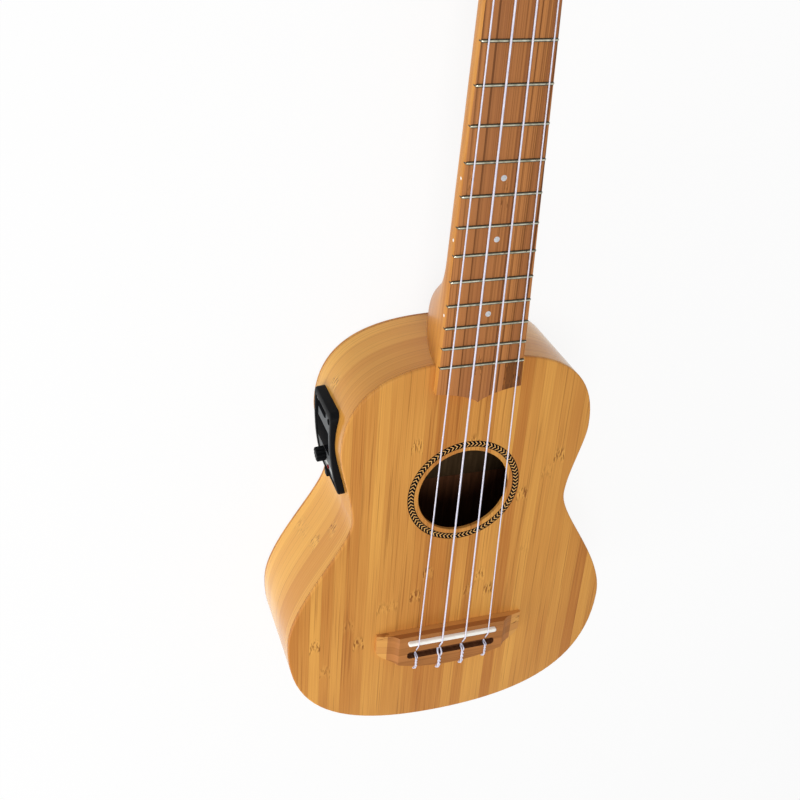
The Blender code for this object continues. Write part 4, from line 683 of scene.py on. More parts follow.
# %% [markdown]
# ## Neck
# The neck is one carved timber: a round shaft, a heel that swells down to the back, and a tilted headstock.
# A skin runs over cross-sections, which are close together where the heel turns. The headstock is its own
# rounded plate. Booleans join the two, cut the heel to the body's curve and drill the post holes.

# %% Headstock
NUT_THICKNESS = 0.0045
HEAD_Y = SCALE_LENGTH + NUT_THICKNESS
HEAD_ANGLE = radians(9)
HEAD_THICKNESS, HEAD_STEP, HEAD_SOFT, HEAD_SQUARE = 0.0115, 0.0002, 0.0008, 0.02
HEAD_PLACE = Matrix.Translation((0, HEAD_Y, -HEAD_STEP)) @ Matrix.Rotation(-HEAD_ANGLE, 4, "X")
HEAD_KNOTS = [
    ((0.01684, 0), (0, 0), (0, 0.011)),
    ((0.025, 0.022), (0, -0.011), (0, 0.011)),
    ((0.0275, 0.086), (0, -0.011), (0, 0.0108)),
    ((0, 0.104), (0.0165, 0), (0, 0)),
]
HEAD_HALF = bezier(HEAD_KNOTS, 16)
POST_DIAMETER, POST_PLAY = 0.0058, 0.0003
POST_FROM_EDGE = 0.008
LOWER_POST_Y, UPPER_POST_Y = 0.034, 0.072
# hand and place of each post on the headstock's face, in string order G, C, E, A
POSTS = [
    (hand, Vector((hand * (crossing(HEAD_HALF, y) - POST_FROM_EDGE), y, 0)))
    for hand, y in ((-1, LOWER_POST_Y), (-1, UPPER_POST_Y), (1, UPPER_POST_Y), (1, LOWER_POST_Y))
]


def head_plate():
    """The headstock in its own frame, with soft edges everywhere but at the nut."""
    edge = HEAD_HALF + mirrored(HEAD_HALF[:-1])
    bm = skin([at_height(edge, -HEAD_THICKNESS), at_height(edge, 0)], caps=True)
    rim = []
    for e in bm.edges:
        a, b = (v.co for v in e.verts)
        if abs(a.z - b.z) < WELD and max(a.y, b.y) > HEAD_SQUARE:
            rim.append(e)
    round_edges(bm, rim, HEAD_SOFT, 3)
    return move(bm, HEAD_PLACE)


print("posts at", [[round(v, 4) for v in spot.xy] for _, spot in POSTS])

# %% Shaft and heel
NUT_WIDTH, TWELFTH_WIDTH = 0.034, 0.044
HEEL_LENGTH, HEEL_FULL_SHARE, HEEL_DEPTH = 0.0518, 0.131, DEPTH_AT_NECK - 0.001
HEEL_TIP_WIDTH, HEEL_TAPER, HEEL_BLUNTNESS = 0.026, 0.584, 0.322
HEEL_INTO_BODY, HEEL_STEPS = 0.0015, 24
SHAFT_STEP, SHAFT_STEPS = 0.02, 6
NECK_DEPTH_AT_BODY, NECK_DEPTH_AT_NUT, NECK_SQUARE_SIDE = 0.0135, 0.0125, 0.0012
# the shaft fades out under the headstock: its last sections behind the nut, sunk below the face
FADE, FADE_SINK = (0.003, 0.006, 0.0095, 0.013, 0.017), 0.003


def between(a, b, share):
    return a + (b - a) * share


def limited(share):
    return min(max(share, 0), 1)


def board_width(y):
    return between(NUT_WIDTH, TWELFTH_WIDTH, (SCALE_LENGTH - y) / (SCALE_LENGTH - NECK_JOIN))


def heel_share(y):
    """How much of the heel a cross-section has: all of it by the body, then less along a soft curve."""
    along = (y - NECK_JOIN) / HEEL_LENGTH
    fall = limited((along - HEEL_FULL_SHARE) / (1 - HEEL_FULL_SHARE))
    return 1 - fall**2 * (3 - 2 * fall)


def neck_section(y, top=0.0, depth=None, steps=40):
    half, heel = board_width(y) / 2, heel_share(y)
    along = limited((y - NECK_JOIN) / (HEAD_Y - NECK_JOIN))
    deep = depth or between(between(NECK_DEPTH_AT_BODY, NECK_DEPTH_AT_NUT, along), HEEL_DEPTH, heel)
    bluntness = 1 - HEEL_BLUNTNESS * heel**2
    side = top - NECK_SQUARE_SIDE
    ring = [(half, y, top)]
    for i in range(steps + 1):
        turn = pi * i / steps
        z = side - (deep + side) * sin(turn)
        drop = (side - z) / HEEL_DEPTH
        heel_half = between(HEEL_TIP_WIDTH / 2, half, max(0, 1 - drop) ** HEEL_TAPER)
        wide = between(half, heel_half, heel)
        ring.append((wide * copysign(abs(cos(turn)) ** bluntness, cos(turn)), y, z))
    return ring + [(-half, y, top)]


stations = [NECK_JOIN - HEEL_INTO_BODY]
stations += [NECK_JOIN + HEEL_LENGTH * i / HEEL_STEPS for i in range(HEEL_STEPS + 1)]
stations += [NECK_JOIN + HEEL_LENGTH + SHAFT_STEP * i for i in range(1, SHAFT_STEPS + 1)] + [HEAD_Y]
sections = [neck_section(y) for y in stations]
for run in FADE:
    fall = run * tan(HEAD_ANGLE)
    sections.append(neck_section(HEAD_Y + run, -fall - FADE_SINK, HEAD_THICKNESS + fall - HEAD_STEP))
print(len(sections), "cross-sections of the neck")


# %% Neck
def rod(bm, start, end, radius, steps=32):
    start, end = Vector(start), Vector(end)
    turn = Vector((0, 0, 1)).rotation_difference(end - start).to_matrix().to_4x4()
    lay = Matrix.Translation((start + end) / 2) @ turn
    ends = {"radius1": radius, "radius2": radius, "depth": (end - start).length}
    bmesh.ops.create_cone(bm, cap_ends=True, segments=steps, matrix=lay, **ends)


def boolean(bm, other, operation):
    """The Boolean of two bmeshes, made by the modifier and read back."""
    for part in (bm, other):
        weld(part)
    made, tool = (put("boolean", mesh_from(part, "boolean")) for part in (bm, other))
    step = made.modifiers.new("boolean", "BOOLEAN")
    step.operation, step.object = operation, tool
    result = bmesh.new()
    result.from_object(made, bpy.context.evaluated_depsgraph_get())
    for thing in (made, tool):
        bpy.data.meshes.remove(thing.data)
    return result


def body_cope(reach=0.1):
    """The body's outside, a glue line larger, which shapes what is fastened against the sides."""
    wall = body_loop(-GLUE)
    return skin([at_height(wall, -reach), at_height(wall, reach)], caps=True)


neck = boolean(skin(sections, caps=True), head_plate(), "UNION")
neck = boolean(neck, body_cope(), "DIFFERENCE")
bores = bmesh.new()
through = Vector((0, 0, HEAD_THICKNESS))
for _, spot in POSTS:
    rod(bores, spot + through, spot - 2 * through, POST_DIAMETER / 2 + POST_PLAY)
neck = boolean(neck, move(bores, HEAD_PLACE), "DIFFERENCE")
piece("neck_look", neck, [NECK_TIMBER], sharp=40)

# %% [markdown]
# ## Fretboard
# A board of dark bamboo lies on the neck and runs out over the body to a little pointed end. Its top is
# oiled, and its sides were varnished together with the neck, so they have the neck's lighter finish: after
# the board is extruded, faces that look sideways get the second material. Two cuts set off the corner
# whose strips are full of knots.

# %% Fretboard
BOARD_THICKNESS, BOARD_SOFT = 0.0045, 0.0005
BOARD_TOP = GLUE + BOARD_THICKNESS
CORNER_Y, POINT_LENGTH = NECK_JOIN - 0.015, 0.007
KNOTS_X = 0.0122
END_KNOTS = [
    ((board_width(CORNER_Y) / 2, CORNER_Y), (0, 0), (-0.009, -0.0008)),
    ((0, CORNER_Y - POINT_LENGTH), (0.0036, 0.0035), (0, 0)),
]
edge = bezier(END_KNOTS, 16)[::-1] + [Vector((NUT_WIDTH / 2, SCALE_LENGTH))]
edge += mirrored(edge[1:])
board = skin([at_height(edge, GLUE), at_height(edge, BOARD_TOP)], caps=True)
rim = [e for e in board.edges if all(abs(v.co.z - BOARD_TOP) < WELD for v in e.verts)]
round_edges(board, rim, BOARD_SOFT, 2)
cut(board, (0, NECK_JOIN, 0), (0, 1, 0), dist=WELD)
cut(board, (KNOTS_X, 0, 0), (1, 0, 0), dist=WELD)
bmesh.ops.recalc_face_normals(board, faces=board.faces)
for face in board.faces:
    x, y, _ = face.calc_center_median()
    face.material_index = 1 if face.normal.z < 0.6 else 2 * int(x > KNOTS_X and y < NECK_JOIN)
finishes = [BAMBOO_BOARD, NECK_TIMBER, BAMBOO_KNOTS]
piece("fretboard_look", board, finishes)

# %% [markdown]
# ## Frets
# A fret is a wire with a round crown and a tang that is hammered into the board; the tang's end shows as a
# dark mark on the board's side. A fret shines as a thin line between two dark ones, because a crown's flanks
# mirror the dark board: faces that lean forwards or back get a dark finish that paints in that reflection.

# %% Frets
FRET_WIDTH, FRET_HEIGHT, FRET_INSET = 0.0016, 0.0008, 0.0002
FRET_FOOT = BOARD_TOP + GLUE
# the crown's rounded end: distance from the tip, and share of the full size
FRET_END = ((0, 0.5), (0.0003, 0.85), (0.0008, 1))
TANG_THICKNESS, TANG_DEPTH, TANG_PROUD = 0.0006, 0.0018, 0.00002


def fret_y(number):
    return SCALE_LENGTH * 2 ** (-number / 12)


def fret_loop(x, y, share, steps=16):
    """The crown's outline at a place across the board, drawn in to a share of its size."""
    turns = [pi * i / steps for i in range(steps + 1)]
    wide, high = share * FRET_WIDTH / 2, share * FRET_HEIGHT
    return [(x, y + wide * cos(turn), FRET_FOOT + high * sin(turn)) for turn in turns]


for number in range(1, 13):
    y = fret_y(number)
    half = board_width(y) / 2
    stations = [(FRET_INSET + inset - half, share) for inset, share in FRET_END]
    stations += [(-x, share) for x, share in reversed(stations)]
    bm = skin([fret_loop(x, y, share) for x, share in stations], caps=True)
    bmesh.ops.recalc_face_normals(bm, faces=bm.faces)
    for face in bm.faces:
        # the flanks get the dark finish, a painted reflection of the board, round the crown's bright top
        face.material_index = int(abs(face.normal.y) > 0.3)
    size = Matrix.Diagonal((2 * (half + TANG_PROUD), TANG_THICKNESS, TANG_DEPTH, 1))
    sunk = Matrix.Translation((0, y, FRET_FOOT - TANG_DEPTH / 2))
    for vert in bmesh.ops.create_cube(bm, size=1, matrix=sunk @ size)["verts"]:
        for face in vert.link_faces:
            face.material_index = 1
    piece(f"fret_{number:02d}_look", bm, [CROWN, TARNISH_AND_PAINTED_REFLECTION], sharp=50)

# %% [markdown]
# ## Nut and saddle
# Here the CAD solids are right, but they are loose flat triangles. A copy is welded, its flat triangles are
# merged back into whole faces, and it is shaded smooth.


# %% Nut and saddle
def cad_copy(name):
    bm = bmesh.new()
    bm.from_mesh(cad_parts[name].data)
    bmesh.ops.remove_doubles(bm, verts=bm.verts, dist=WELD)
    bmesh.ops.dissolve_limit(bm, angle_limit=radians(0.5), verts=bm.verts, edges=bm.edges)
    return bm


def soften(made, width):
    """A Bevel modifier that rounds a piece's sharp edges."""
    step = made.modifiers.new("soft edges", "BEVEL")
    step.width, step.segments, step.harden_normals = width, 2, True
    step.limit_method, step.angle_limit = "ANGLE", radians(30)


def from_cad(node, material, body="instrument", sharp=40):
    return piece(node + "_look", cad_copy(node), [material], body, "", sharp, Matrix())


soften(from_cad("nut", BONE), 0.0003)
from_cad("saddle", BONE, sharp=50)

# %% [markdown]
# ## Position marks
# Three pearl dots are let into the board, and small white ones into its bass side, where the player looks.
# Each is a disc with a slightly crowned face: a cone's top ring, inset and raised.

# %% Position marks
DOT_FRETS = (5, 7, 10)
DOT_RADIUS, DOT_DEPTH = 0.0014, 0.0012
SIDE_DOT_RADIUS, SIDE_DOT_DEPTH, SIDE_DOT_HEIGHT = 0.00075, 0.001, 0.45 * BOARD_THICKNESS
DOT_PROUD, DOT_CROWN = 0.00003, 0.00006


def dot(face, inward, radius, depth):
    bm = bmesh.new()
    inward = Vector(inward)
    face = Vector(face) - DOT_PROUD * inward
    rod(bm, face + inward * depth, face, radius)
    top = [f for f in bm.faces if f.normal.dot(inward) < -0.9]
    bmesh.ops.inset_region(bm, faces=top, thickness=radius * 0.3)
    bmesh.ops.translate(bm, vec=-inward * DOT_CROWN, verts=[v for f in top for v in f.verts])
    return bm


for number in DOT_FRETS:
    y = (fret_y(number - 1) + fret_y(number)) / 2
    bm = dot((0, y, BOARD_TOP), (0, 0, -1), DOT_RADIUS, DOT_DEPTH)
    piece(f"position_dot_{number:02d}_look", bm, [PEARL])
    side = (-board_width(y) / 2, y, GLUE + SIDE_DOT_HEIGHT)
    bm = dot(side, (1, 0, 0), SIDE_DOT_RADIUS, SIDE_DOT_DEPTH)
    piece(f"side_dot_{number:02d}", bm, [BONE])

# %% [markdown]
# ## Bridge
# The bridge is a block of bamboo with thin scooped wings, a slot for the saddle and a trench behind it where
# the strings are tied. The CAD solid has all of that, so a welded copy only gets softer edges. The block is
# two layers thick: a cut all round at the glue line lets the lower faces take the paler finish. The trench
# gets a dark finish that paints in its shade, and its rear wall is moved back a little.

# %% Bridge
LAYER_HEIGHT = 0.0033
TRENCH_LOW, TRENCH_HIGH = Vector((-0.0261, -0.0117, 0.0029)), Vector((0.0261, -0.0077, 0.0068))
TRENCH_WIDER = 0.001
bridge = move(cad_copy("bridge"), PLACE.inverted())
cut(bridge, (0, 0, LAYER_HEIGHT), (0, 0, 1))
rear_wall = set()
for face in bridge.faces:
    face.material_index = int(face.calc_center_median().z < LAYER_HEIGHT)
    # the trench's faces take the dark finish: painted shade in the recess
    if all(TRENCH_LOW[i] < v.co[i] < TRENCH_HIGH[i] for v in face.verts for i in range(3)):
        face.material_index = 2
        rear_wall.update(v for v in face.verts if v.co.y < (TRENCH_LOW.y + TRENCH_HIGH.y) / 2)
bmesh.ops.translate(bridge, vec=(0, -TRENCH_WIDER, 0), verts=list(rear_wall))
finishes = [BAMBOO_BRIDGE, BAMBOO_WING, PAINTED_SHADE]
soften(piece("bridge_look", bridge, finishes), 0.0002)

# %% [markdown]
# ## Strings
# Each string starts on its post with a few turns, crosses nut and saddle, dives through the tie block,
# comes back over it, loops under itself and is twisted back: that is how nylon strings are tied. A curve
# with a round bevel makes a tube along those places, and it becomes a mesh.


# %% Cords
def tube(route, diameter):
    """A round cord along a route, as a bmesh with closed ends."""
    curve = bpy.data.curves.new("cord", "CURVE")
    curve.dimensions = "3D"
    curve.bevel_depth, curve.bevel_resolution, curve.use_fill_caps = diameter / 2, 3, True
    spline = curve.splines.new("POLY")
    spline.points.add(len(route) - 1)
    for point, spot in zip(spline.points, route):
        point.co = (*spot, 1)
    guide = put("cord", curve)
    mesh = bpy.data.meshes.new_from_object(guide.evaluated_get(bpy.context.evaluated_depsgraph_get()))
    bm = bmesh.new()
    bm.from_mesh(mesh)
    bpy.data.objects.remove(guide)
    bpy.data.curves.remove(curve)
    bpy.data.meshes.remove(mesh)
    return bm


def smooth_route(places, steps):
    """Points on a smooth curve through the places."""
    places = [Vector(p) for p in places]
    points = [places[0]]
    for i, (start, end) in enumerate(zip(places, places[1:])):
        before, after = places[max(i - 1, 0)], places[min(i + 2, len(places) - 1)]
        leave, arrive = start + (end - before) / 6, end - (after - start) / 6
        points += interpolate_bezier(start, leave, arrive, end, steps + 1)[1:]
    return points


def cord(name, route, diameter, material):
    length = sum((b - a).length for a, b in zip(route, route[1:]))
    piece(name, tube(route, diameter), [material], sharp=60)
    print(f"{name} is {length:.3f} m long")


# %% Turns on the posts
STRINGS = ("g_string", "c_string", "e_string", "a_string")
DIAMETERS = (0.00072, 0.00095, 0.00085, 0.00065)
WINDING_TURNS, WINDING_STEPS, WINDING_ABOVE_HEAD, WINDING_PITCH = 2.25, 32, 0.0025, 0.00165


def winding(index, bend):
    """A string's turns on its post, from where it comes in from the nut."""
    hand, post = POSTS[index]
    reach = POST_DIAMETER / 2 + POST_PLAY + DIAMETERS[index] / 2
    away = HEAD_PLACE.inverted() @ bend - post
    start = atan2(away.y, away.x) - hand * acos(reach / away.xy.length)
    turns = []
    for i in range(round(WINDING_TURNS * WINDING_STEPS) + 1):
        angle = start - hand * tau * i / WINDING_STEPS
        height = WINDING_ABOVE_HEAD + WINDING_PITCH * i / WINDING_STEPS
        spot = post + Vector((reach * cos(angle), reach * sin(angle), height))
        turns.append(HEAD_PLACE @ spot)
    return turns


print(WINDING_TURNS, "turns on each post")

# %% Tied ends
NUT_SPREAD, SADDLE_SPREAD = 0.0285, 0.0413
BRIDGE_TOP, BRIDGE_BELLY = 0.0067, 0.021
BELLY_KNOTS = [((0.0428, -0.008), (0, 0), (0, -0.0055)), ((0, -BRIDGE_BELLY), (0.022, 0), (0, 0))]
BELLY = bezier(BELLY_KNOTS, 16)
TIE_Y, TIE_HEIGHT = -0.01065, 0.0043
STRING_GAP = 0.00025
# the eye that each string is tied in: half width, front edge, and the front end of the twist behind it
EYES = (
    (0.0005, -0.0103, -0.0119), (0.0011, -0.0087, -0.0127),
    (0.0006, -0.0101, -0.0121), (0.0005, -0.0102, -0.012),
)
EYE_REAR = -0.0112
# the cut end: how far it lies to the side, ahead of the bridge's rear, and up
TAIL = ((0.0007, 0.0008, 0.0003), (0.0014, 0.0005, 0.0001), (0.0019, 0.001, 0.0003))
TWISTS, TWIST_STEPS, TWIST_AHEAD, TWIST_RADIUS = 1.5, 24, 0.0018, 0.52


def string_x(index, spread):
    return spread * (index / 3 - 0.5)


def tied_end(index):
    """From the saddle down through the tie block, back over it, round the string and twisted home."""
    d, x = DIAMETERS[index], string_x(index, SADDLE_SPREAD)
    eye, eye_front, twist_to = EYES[index]
    over = BRIDGE_TOP + STRING_GAP + d
    rear = crossing(BELLY, abs(x), 0) - d
    lift = (over - TIE_HEIGHT) / 4

    def strand(share, phase):
        turn = tau * TWISTS * share + phase
        wide, high = d * TWIST_RADIUS * cos(turn), d * TWIST_RADIUS * sin(turn)
        return (x + wide, between(rear + TWIST_AHEAD, twist_to, share), over + high)

    shares = [i / TWIST_STEPS for i in range(TWIST_STEPS + 1)]
    forward = [strand(s, 0) for s in shares]
    homeward = [strand(s, pi) for s in reversed(shares)]
    side = copysign(eye, forward[-1][0] - x)
    # the eye runs from its rear round its tip and back; each of these is a place along the body and a height
    neck, bend = (EYE_REAR, over - 0.0004), (eye_front - 0.0004, TIE_HEIGHT + 0.0009)
    tip = (eye_front, TIE_HEIGHT + 0.0003)
    knot = [(x + side * k, *at) for k, at in ((1, neck), (0.7, bend), (0, tip), (-0.7, bend), (-1, neck))]
    tail = [(x - a, rear + b, over + c) for a, b, c in TAIL]
    back = [(x, rear, TIE_HEIGHT), (x, rear - lift, TIE_HEIGHT + lift), (x, rear - lift, over - lift)]
    return smooth_route([*back, *forward, *knot, *homeward, *tail], 3)


print("strings are", round(SADDLE_SPREAD / 3 * 1000, 1), "mm apart at the saddle")

# %% Strings
CAD_FRET_HEIGHT, SLOT_ABOVE_FRETS, STRING_ABOVE_TWELFTH = 0.0009, 0.0003, 0.0017
FRET_TOP = FRET_FOOT + CAD_FRET_HEIGHT
NUT_SLOT = FRET_TOP + SLOT_ABOVE_FRETS
SADDLE_TOP = 2 * (FRET_TOP + STRING_ABOVE_TWELFTH) - NUT_SLOT
SADDLE_Y, SADDLE_THICKNESS, SADDLE_ROUND, SADDLE_SUNK = -0.0009, 0.0025, 0.00075, 0.00003
PAST_NUT = 0.0003


def string_route(index):
    r, x = DIAMETERS[index] / 2, string_x(index, SADDLE_SPREAD)
    nut = Vector((string_x(index, NUT_SPREAD), SCALE_LENGTH, NUT_SLOT + GLUE + r))
    tie = Vector((x, TIE_Y, TIE_HEIGHT))
    crest_y = SADDLE_Y - SADDLE_THICKNESS / 2 + SADDLE_ROUND
    crest = Vector((x, crest_y, SADDLE_TOP - SADDLE_ROUND - SADDLE_SUNK))
    clear = SADDLE_ROUND + GLUE + r
    fall = atan2(crest.z + clear - tie.z, crest.y - tie.y)
    turns = [fall * i / 4 for i in range(5)]
    over_saddle = [crest + clear * Vector((0, -sin(turn), cos(turn))) for turn in turns]
    bend = nut + (nut - over_saddle[0]) * (NUT_THICKNESS + PAST_NUT) / (nut.y - over_saddle[0].y)
    return [*reversed(winding(index, bend)), bend, *over_saddle, tie, *tied_end(index)]


for index, name in enumerate(STRINGS):
    cord(name + "_look", string_route(index), DIAMETERS[index], NYLON)

# %% [markdown]
# ## Pickup and leads
# A brass strip under the saddle hears the strings. Its lead goes down through the top and across the body to
# the preamp, and a second lead runs from the preamp to the jack in the tail. Both are round cords that hang
# in easy curves between the two things that hold them.

# %% Pickup and leads
PREAMP_DEPTH = 0.026
PATCH_THICKNESS = 0.0016
LEAD_EXIT, LEAD_STEPS, LEAD_APART, LEAD_GAP = 0.006, 10, 0.008, 0.0003
PICKUP_SIZE, PICKUP_SOFT, PICKUP_SEAT, PICKUP_X = (0.0497, 0.0025, 0.0012), 0.0002, 0.0026, -0.022
PICKUP_LEAD, JACK_LEAD = 0.0018, 0.002
PICKUP_ROUTE = [
    (-0.0225, 0.002, -0.014), (-0.027, 0.016, -0.022), (-0.036, 0.042, -0.029), (-0.0405, 0.074, -0.03),
]
JACK_ROUTE = [
    (-0.026, 0.078, -0.044), (-0.016, 0.046, -0.052), (-0.007, 0.022, -0.047), (-0.002, -0.004, -0.04),
]
JACK_END = Vector((0, -BUTT_LENGTH + 0.0336, -0.031))


def preamp_entry(step, away=0.0):
    """Where a lead comes into the preamp, or a place that far behind it."""
    return PREAMP @ Vector((-PREAMP_LENGTH / 4 + step * LEAD_APART, 0, -PREAMP_DEPTH - LEAD_GAP - away))


seated = Matrix.Translation((0, SADDLE_Y, PICKUP_SEAT + GLUE + PICKUP_SIZE[2] / 2))
pickup = move(block(PICKUP_SIZE, PICKUP_SOFT, 2), seated)
piece("pickup_look", pickup, [BRASS])
start = Vector((PICKUP_X, SADDLE_Y, PICKUP_SEAT + PICKUP_SIZE[2] / 2))
under = (PICKUP_X, SADDLE_Y, SIDE_TOP - PATCH_THICKNESS - LEAD_EXIT / 2)
curve = smooth_route([under, *PICKUP_ROUTE, preamp_entry(0, LEAD_EXIT)], LEAD_STEPS)
cord("pickup_lead", [start, *curve, preamp_entry(0)], PICKUP_LEAD, PVC)
before_jack = JACK_END + Vector((0, LEAD_EXIT, 0))
curve = smooth_route([preamp_entry(1, LEAD_EXIT), *JACK_ROUTE, before_jack], LEAD_STEPS)
cord("jack_lead_look", [preamp_entry(1), *curve, JACK_END], JACK_LEAD, PVC)

# %% [markdown]
# ## Preamp
# A moulded black bezel sits on the bass side round a grey face. The bezel is a ring of loops with rounded
# lips, drawn flat in the preamp's own frame; then it is bent to the curve of the side, and a Boolean with
# the body shapes its underside.

# %% Preamp bezel and face
FACE = -0.0006
FACE_GAP, FACE_SOFT = 0.0003, 0.0002
RIM_CORNER, RIM_LONGER, OPENING_CORNER, LIP = 0.0042, 0.0012, 0.0015, 0.0008
PREAMP_SAG, NECK_END_SAG = 0.0026, 0.6


def rounded(length, width, corner, centre=(0, 0), steps=6):
    points = []
    for quarter, (sx, sy) in enumerate(((1, 1), (-1, 1), (-1, -1), (1, -1))):
        for i in range(steps + 1):
            a = pi / 2 * (quarter + i / steps)
            x = centre[0] + sx * (length / 2 - corner) + corner * cos(a)
            points.append((x, centre[1] + sy * (width / 2 - corner) + corner * sin(a)))
    return points


def rim_loop(outset, z):
    """The bezel's outer edge, moved out. It is a little longer at the neck's end."""
    length, width = PREAMP_LENGTH + RIM_LONGER + 2 * outset, PREAMP_WIDTH + 2 * outset
    return at_height(rounded(length, width, RIM_CORNER + outset, (RIM_LONGER / 2, 0)), z)


def opening_loop(outset, z):
    """The bezel's opening, moved out."""
    grow = 2 * (outset - PREAMP_RAIL)
    corner = max(OPENING_CORNER + outset, 0.0004)
    return at_height(rounded(PREAMP_LENGTH + grow, PREAMP_WIDTH + grow, corner), z)


def bow(x):
    """How far the face falls back at a distance along it, as it follows the curve of the side."""
    return -PREAMP_SAG * (1 if x < 0 else NECK_END_SAG) * (2 * x / PREAMP_LENGTH) ** 2


def bowed(bm, cuts=16):
    """Cuts a plate of the preamp across its length, bends its outer face to the bow, and puts it in place."""
    for step in range(1, cuts):
        cut(bm, (PREAMP_LENGTH * (step / cuts - 0.5), 0, 0), (1, 0, 0), dist=WELD)
    for vert in bm.verts:
        if vert.co.z > -PREAMP_DEPTH / 4:
            vert.co.z += bow(vert.co.x)
    return move(bm, PREAMP)


foot = -PREAMP_DEPTH / 2
rims = [(0, foot), (0, -LIP), (-LIP * 0.3, -LIP * 0.3), (-LIP, 0)]
openings = [(LIP * 0.5, 0), (LIP * 0.15, -LIP * 0.15), (0, -LIP * 0.5), (0, foot)]
bezel = skin([rim_loop(*at) for at in rims] + [opening_loop(*at) for at in openings], ring=True)
bezel = boolean(bowed(bezel), body_cope(), "DIFFERENCE")
piece("preamp_bezel_look", bezel, [BLACK_ABS])
edges = [(-FACE_GAP, -PREAMP_DEPTH), (-FACE_GAP, FACE - FACE_SOFT), (-FACE_GAP - FACE_SOFT, FACE)]
face = skin([opening_loop(*at) for at in edges], caps=True)
piece("preamp_face", bowed(face), [GREY_ABS], stands_for="preamp_chassis")

# %% [markdown]
# ## On the preamp's face
# A display, a latch, a small lamp on its plate and a screw are let into the face; a lobed knob turns on it,
# and a square button is pushed. Thin plates are cut and bent like the face. Round heads are stacks of
# circles that draw in as they rise, and the knob is one too, with a wavy outline.

# %% Plates and heads
PLAQUE_CORNER, PLAQUE_SUNK, PLAQUE_SOFT = 0.0009, 0.0009, 0.0002


def plaque(name, length, width, centre, proud, material, stands_for=""):
    foot = rounded(length, width, PLAQUE_CORNER, centre)
    inset = 2 * PLAQUE_SOFT
    rim = rounded(length - inset, width - inset, PLAQUE_CORNER - PLAQUE_SOFT, centre)
    top = FACE + proud
    loops = [at_height(foot, FACE - PLAQUE_SUNK), at_height(foot, top - PLAQUE_SOFT), at_height(rim, top)]
    piece(name, bowed(skin(loops, caps=True)), [material], stands_for=stands_for)


def on_face(x, y=0.0):
    """The frame of a place on the bowed face."""
    return PLACE @ PREAMP @ Matrix.Translation((x, y, FACE + bow(x)))


def stack(stations, steps, **ends):
    """A turned piece: circles of (radius, height)."""
    return skin([at_height(circle(radius, steps), z) for radius, z in stations], **ends)


def stud(name, radius, height, centre, material):
    domes = ((1, -0.3), (1, 0.35), (0.85, 0.75), (0.5, 0.95), (0.15, 1))
    bm = stack([(radius * share, height * rise) for share, rise in domes], 24, caps=True)
    piece(name, bm, [material], place=on_face(*centre))


plaque("display_look", 0.014, 0.0229, (0.0044, 0.002), 0.0002, ACRYLIC, "display_lens")
plaque("battery_latch", 0.0034, 0.0135, (0.0191, 0.0021), 0.0005, MATT_ABS)
plaque("display_flank", 0.0085, 0.0036, (0.0152, 0.0116), 0.0005, MATT_ABS)
plaque("lamp_plate", 0.0048, 0.0225, (-0.0127, -0.0018), 0.00015, PALE_ABS)
stud("lamp", 0.0012, 0.001, (-0.0122, -0.0045), RED_LENS)
stud("face_screw", 0.0017, 0.0008, (0.0194, -0.0113), MATT_ABS)

# %% Knob and button
KNOB_X, KNOB_RADIUS, KNOB_HEIGHT, KNOB_LOBES, KNOB_WAVE, KNOB_STEPS = -0.0065, 0.0039, 0.0052, 10, 0.0005, 96
KNOB_GAP, STEM_RADIUS, STEM_DEPTH = 0.0003, 0.002, 0.004
PUSH_X, PUSH_CORNER = -0.0185, 0.0005


def knob_loop(share, z):
    """A lobed outline, drawn in to a share of its size."""
    points = []
    for i in range(KNOB_STEPS):
        a = tau * i / KNOB_STEPS
        r = share * (KNOB_RADIUS - KNOB_WAVE + KNOB_WAVE * cos(KNOB_LOBES * a))
        points.append((r * cos(a), r * sin(a), z))
    return points


stem = circle(STEM_RADIUS, KNOB_STEPS)
# the knob's profile: share of its size, and height
rise = [
    (0.98, KNOB_GAP), (1, 2 * KNOB_GAP), (1, KNOB_HEIGHT - 0.0007), (0.97, KNOB_HEIGHT - 0.0002),
    (0.9, KNOB_HEIGHT),
]
loops = [at_height(stem, -STEM_DEPTH), at_height(stem, KNOB_GAP), *(knob_loop(*at) for at in rise)]
knob = skin(loops, caps=True)
piece("volume_knob_look", knob, [BLACK_ABS], "volume_knob", "", 40, on_face(KNOB_X))
sizes = ((0.0042, -0.003), (0.0042, 0.0016), (0.0036, 0.002))
push = skin([at_height(rounded(side, side, PUSH_CORNER), z) for side, z in sizes], caps=True)
piece("push_button_look", push, [BLACK_ABS], "push_button", "", 40, on_face(PUSH_X))

# %% [markdown]
# ## Tuners
# Each tuner is a plate with two lugs, a worm on the button's shaft and a gear on the string's post. The CAD
# solids have the teeth and the thread, so welded copies keep them. The button is remade: the CAD button is
# cut off, and a rounder one with a collar takes its place.

# %% Tuners
GEAR_AXES, WORM_BELOW = 0.0069, 0.00442
BUTTON_START, BUTTON_OVERLAP, BUTTON_SQUARENESS = 0.00985, 0.0003, 0.8
# the button along its shaft: distance out, half width and half thickness
BUTTON = (
    (-0.0004, 0.0014, 0.0014), (0, 0.0021, 0.0021), (0.0007, 0.0022, 0.0022), (0.0011, 0.0016, 0.0016),
    (0.0018, 0.0019, 0.0017), (0.003, 0.0042, 0.0021), (0.0042, 0.0058, 0.0025), (0.0056, 0.0066, 0.0029),
    (0.007, 0.00675, 0.0031), (0.0086, 0.0062, 0.0029), (0.01, 0.005, 0.0024), (0.0112, 0.0033, 0.0017),
    (0.0118, 0.0017, 0.0009),
)
# a plate screw's head and a post's bushing: radius and height
SCREW = ((0.0013, 0.0002), (0.0013, -0.0003), (0.00104, -0.0006), (0.00052, -0.0008))
SCREW_X, SCREW_Y, SCREW_Z = 0.0054, -0.0042, -0.00112
BUSHING = ((0.0031, 0), (0.0031, 0.0012), (0.0036, 0.0014), (0.0046, 0.0006), (0.0048, 0))


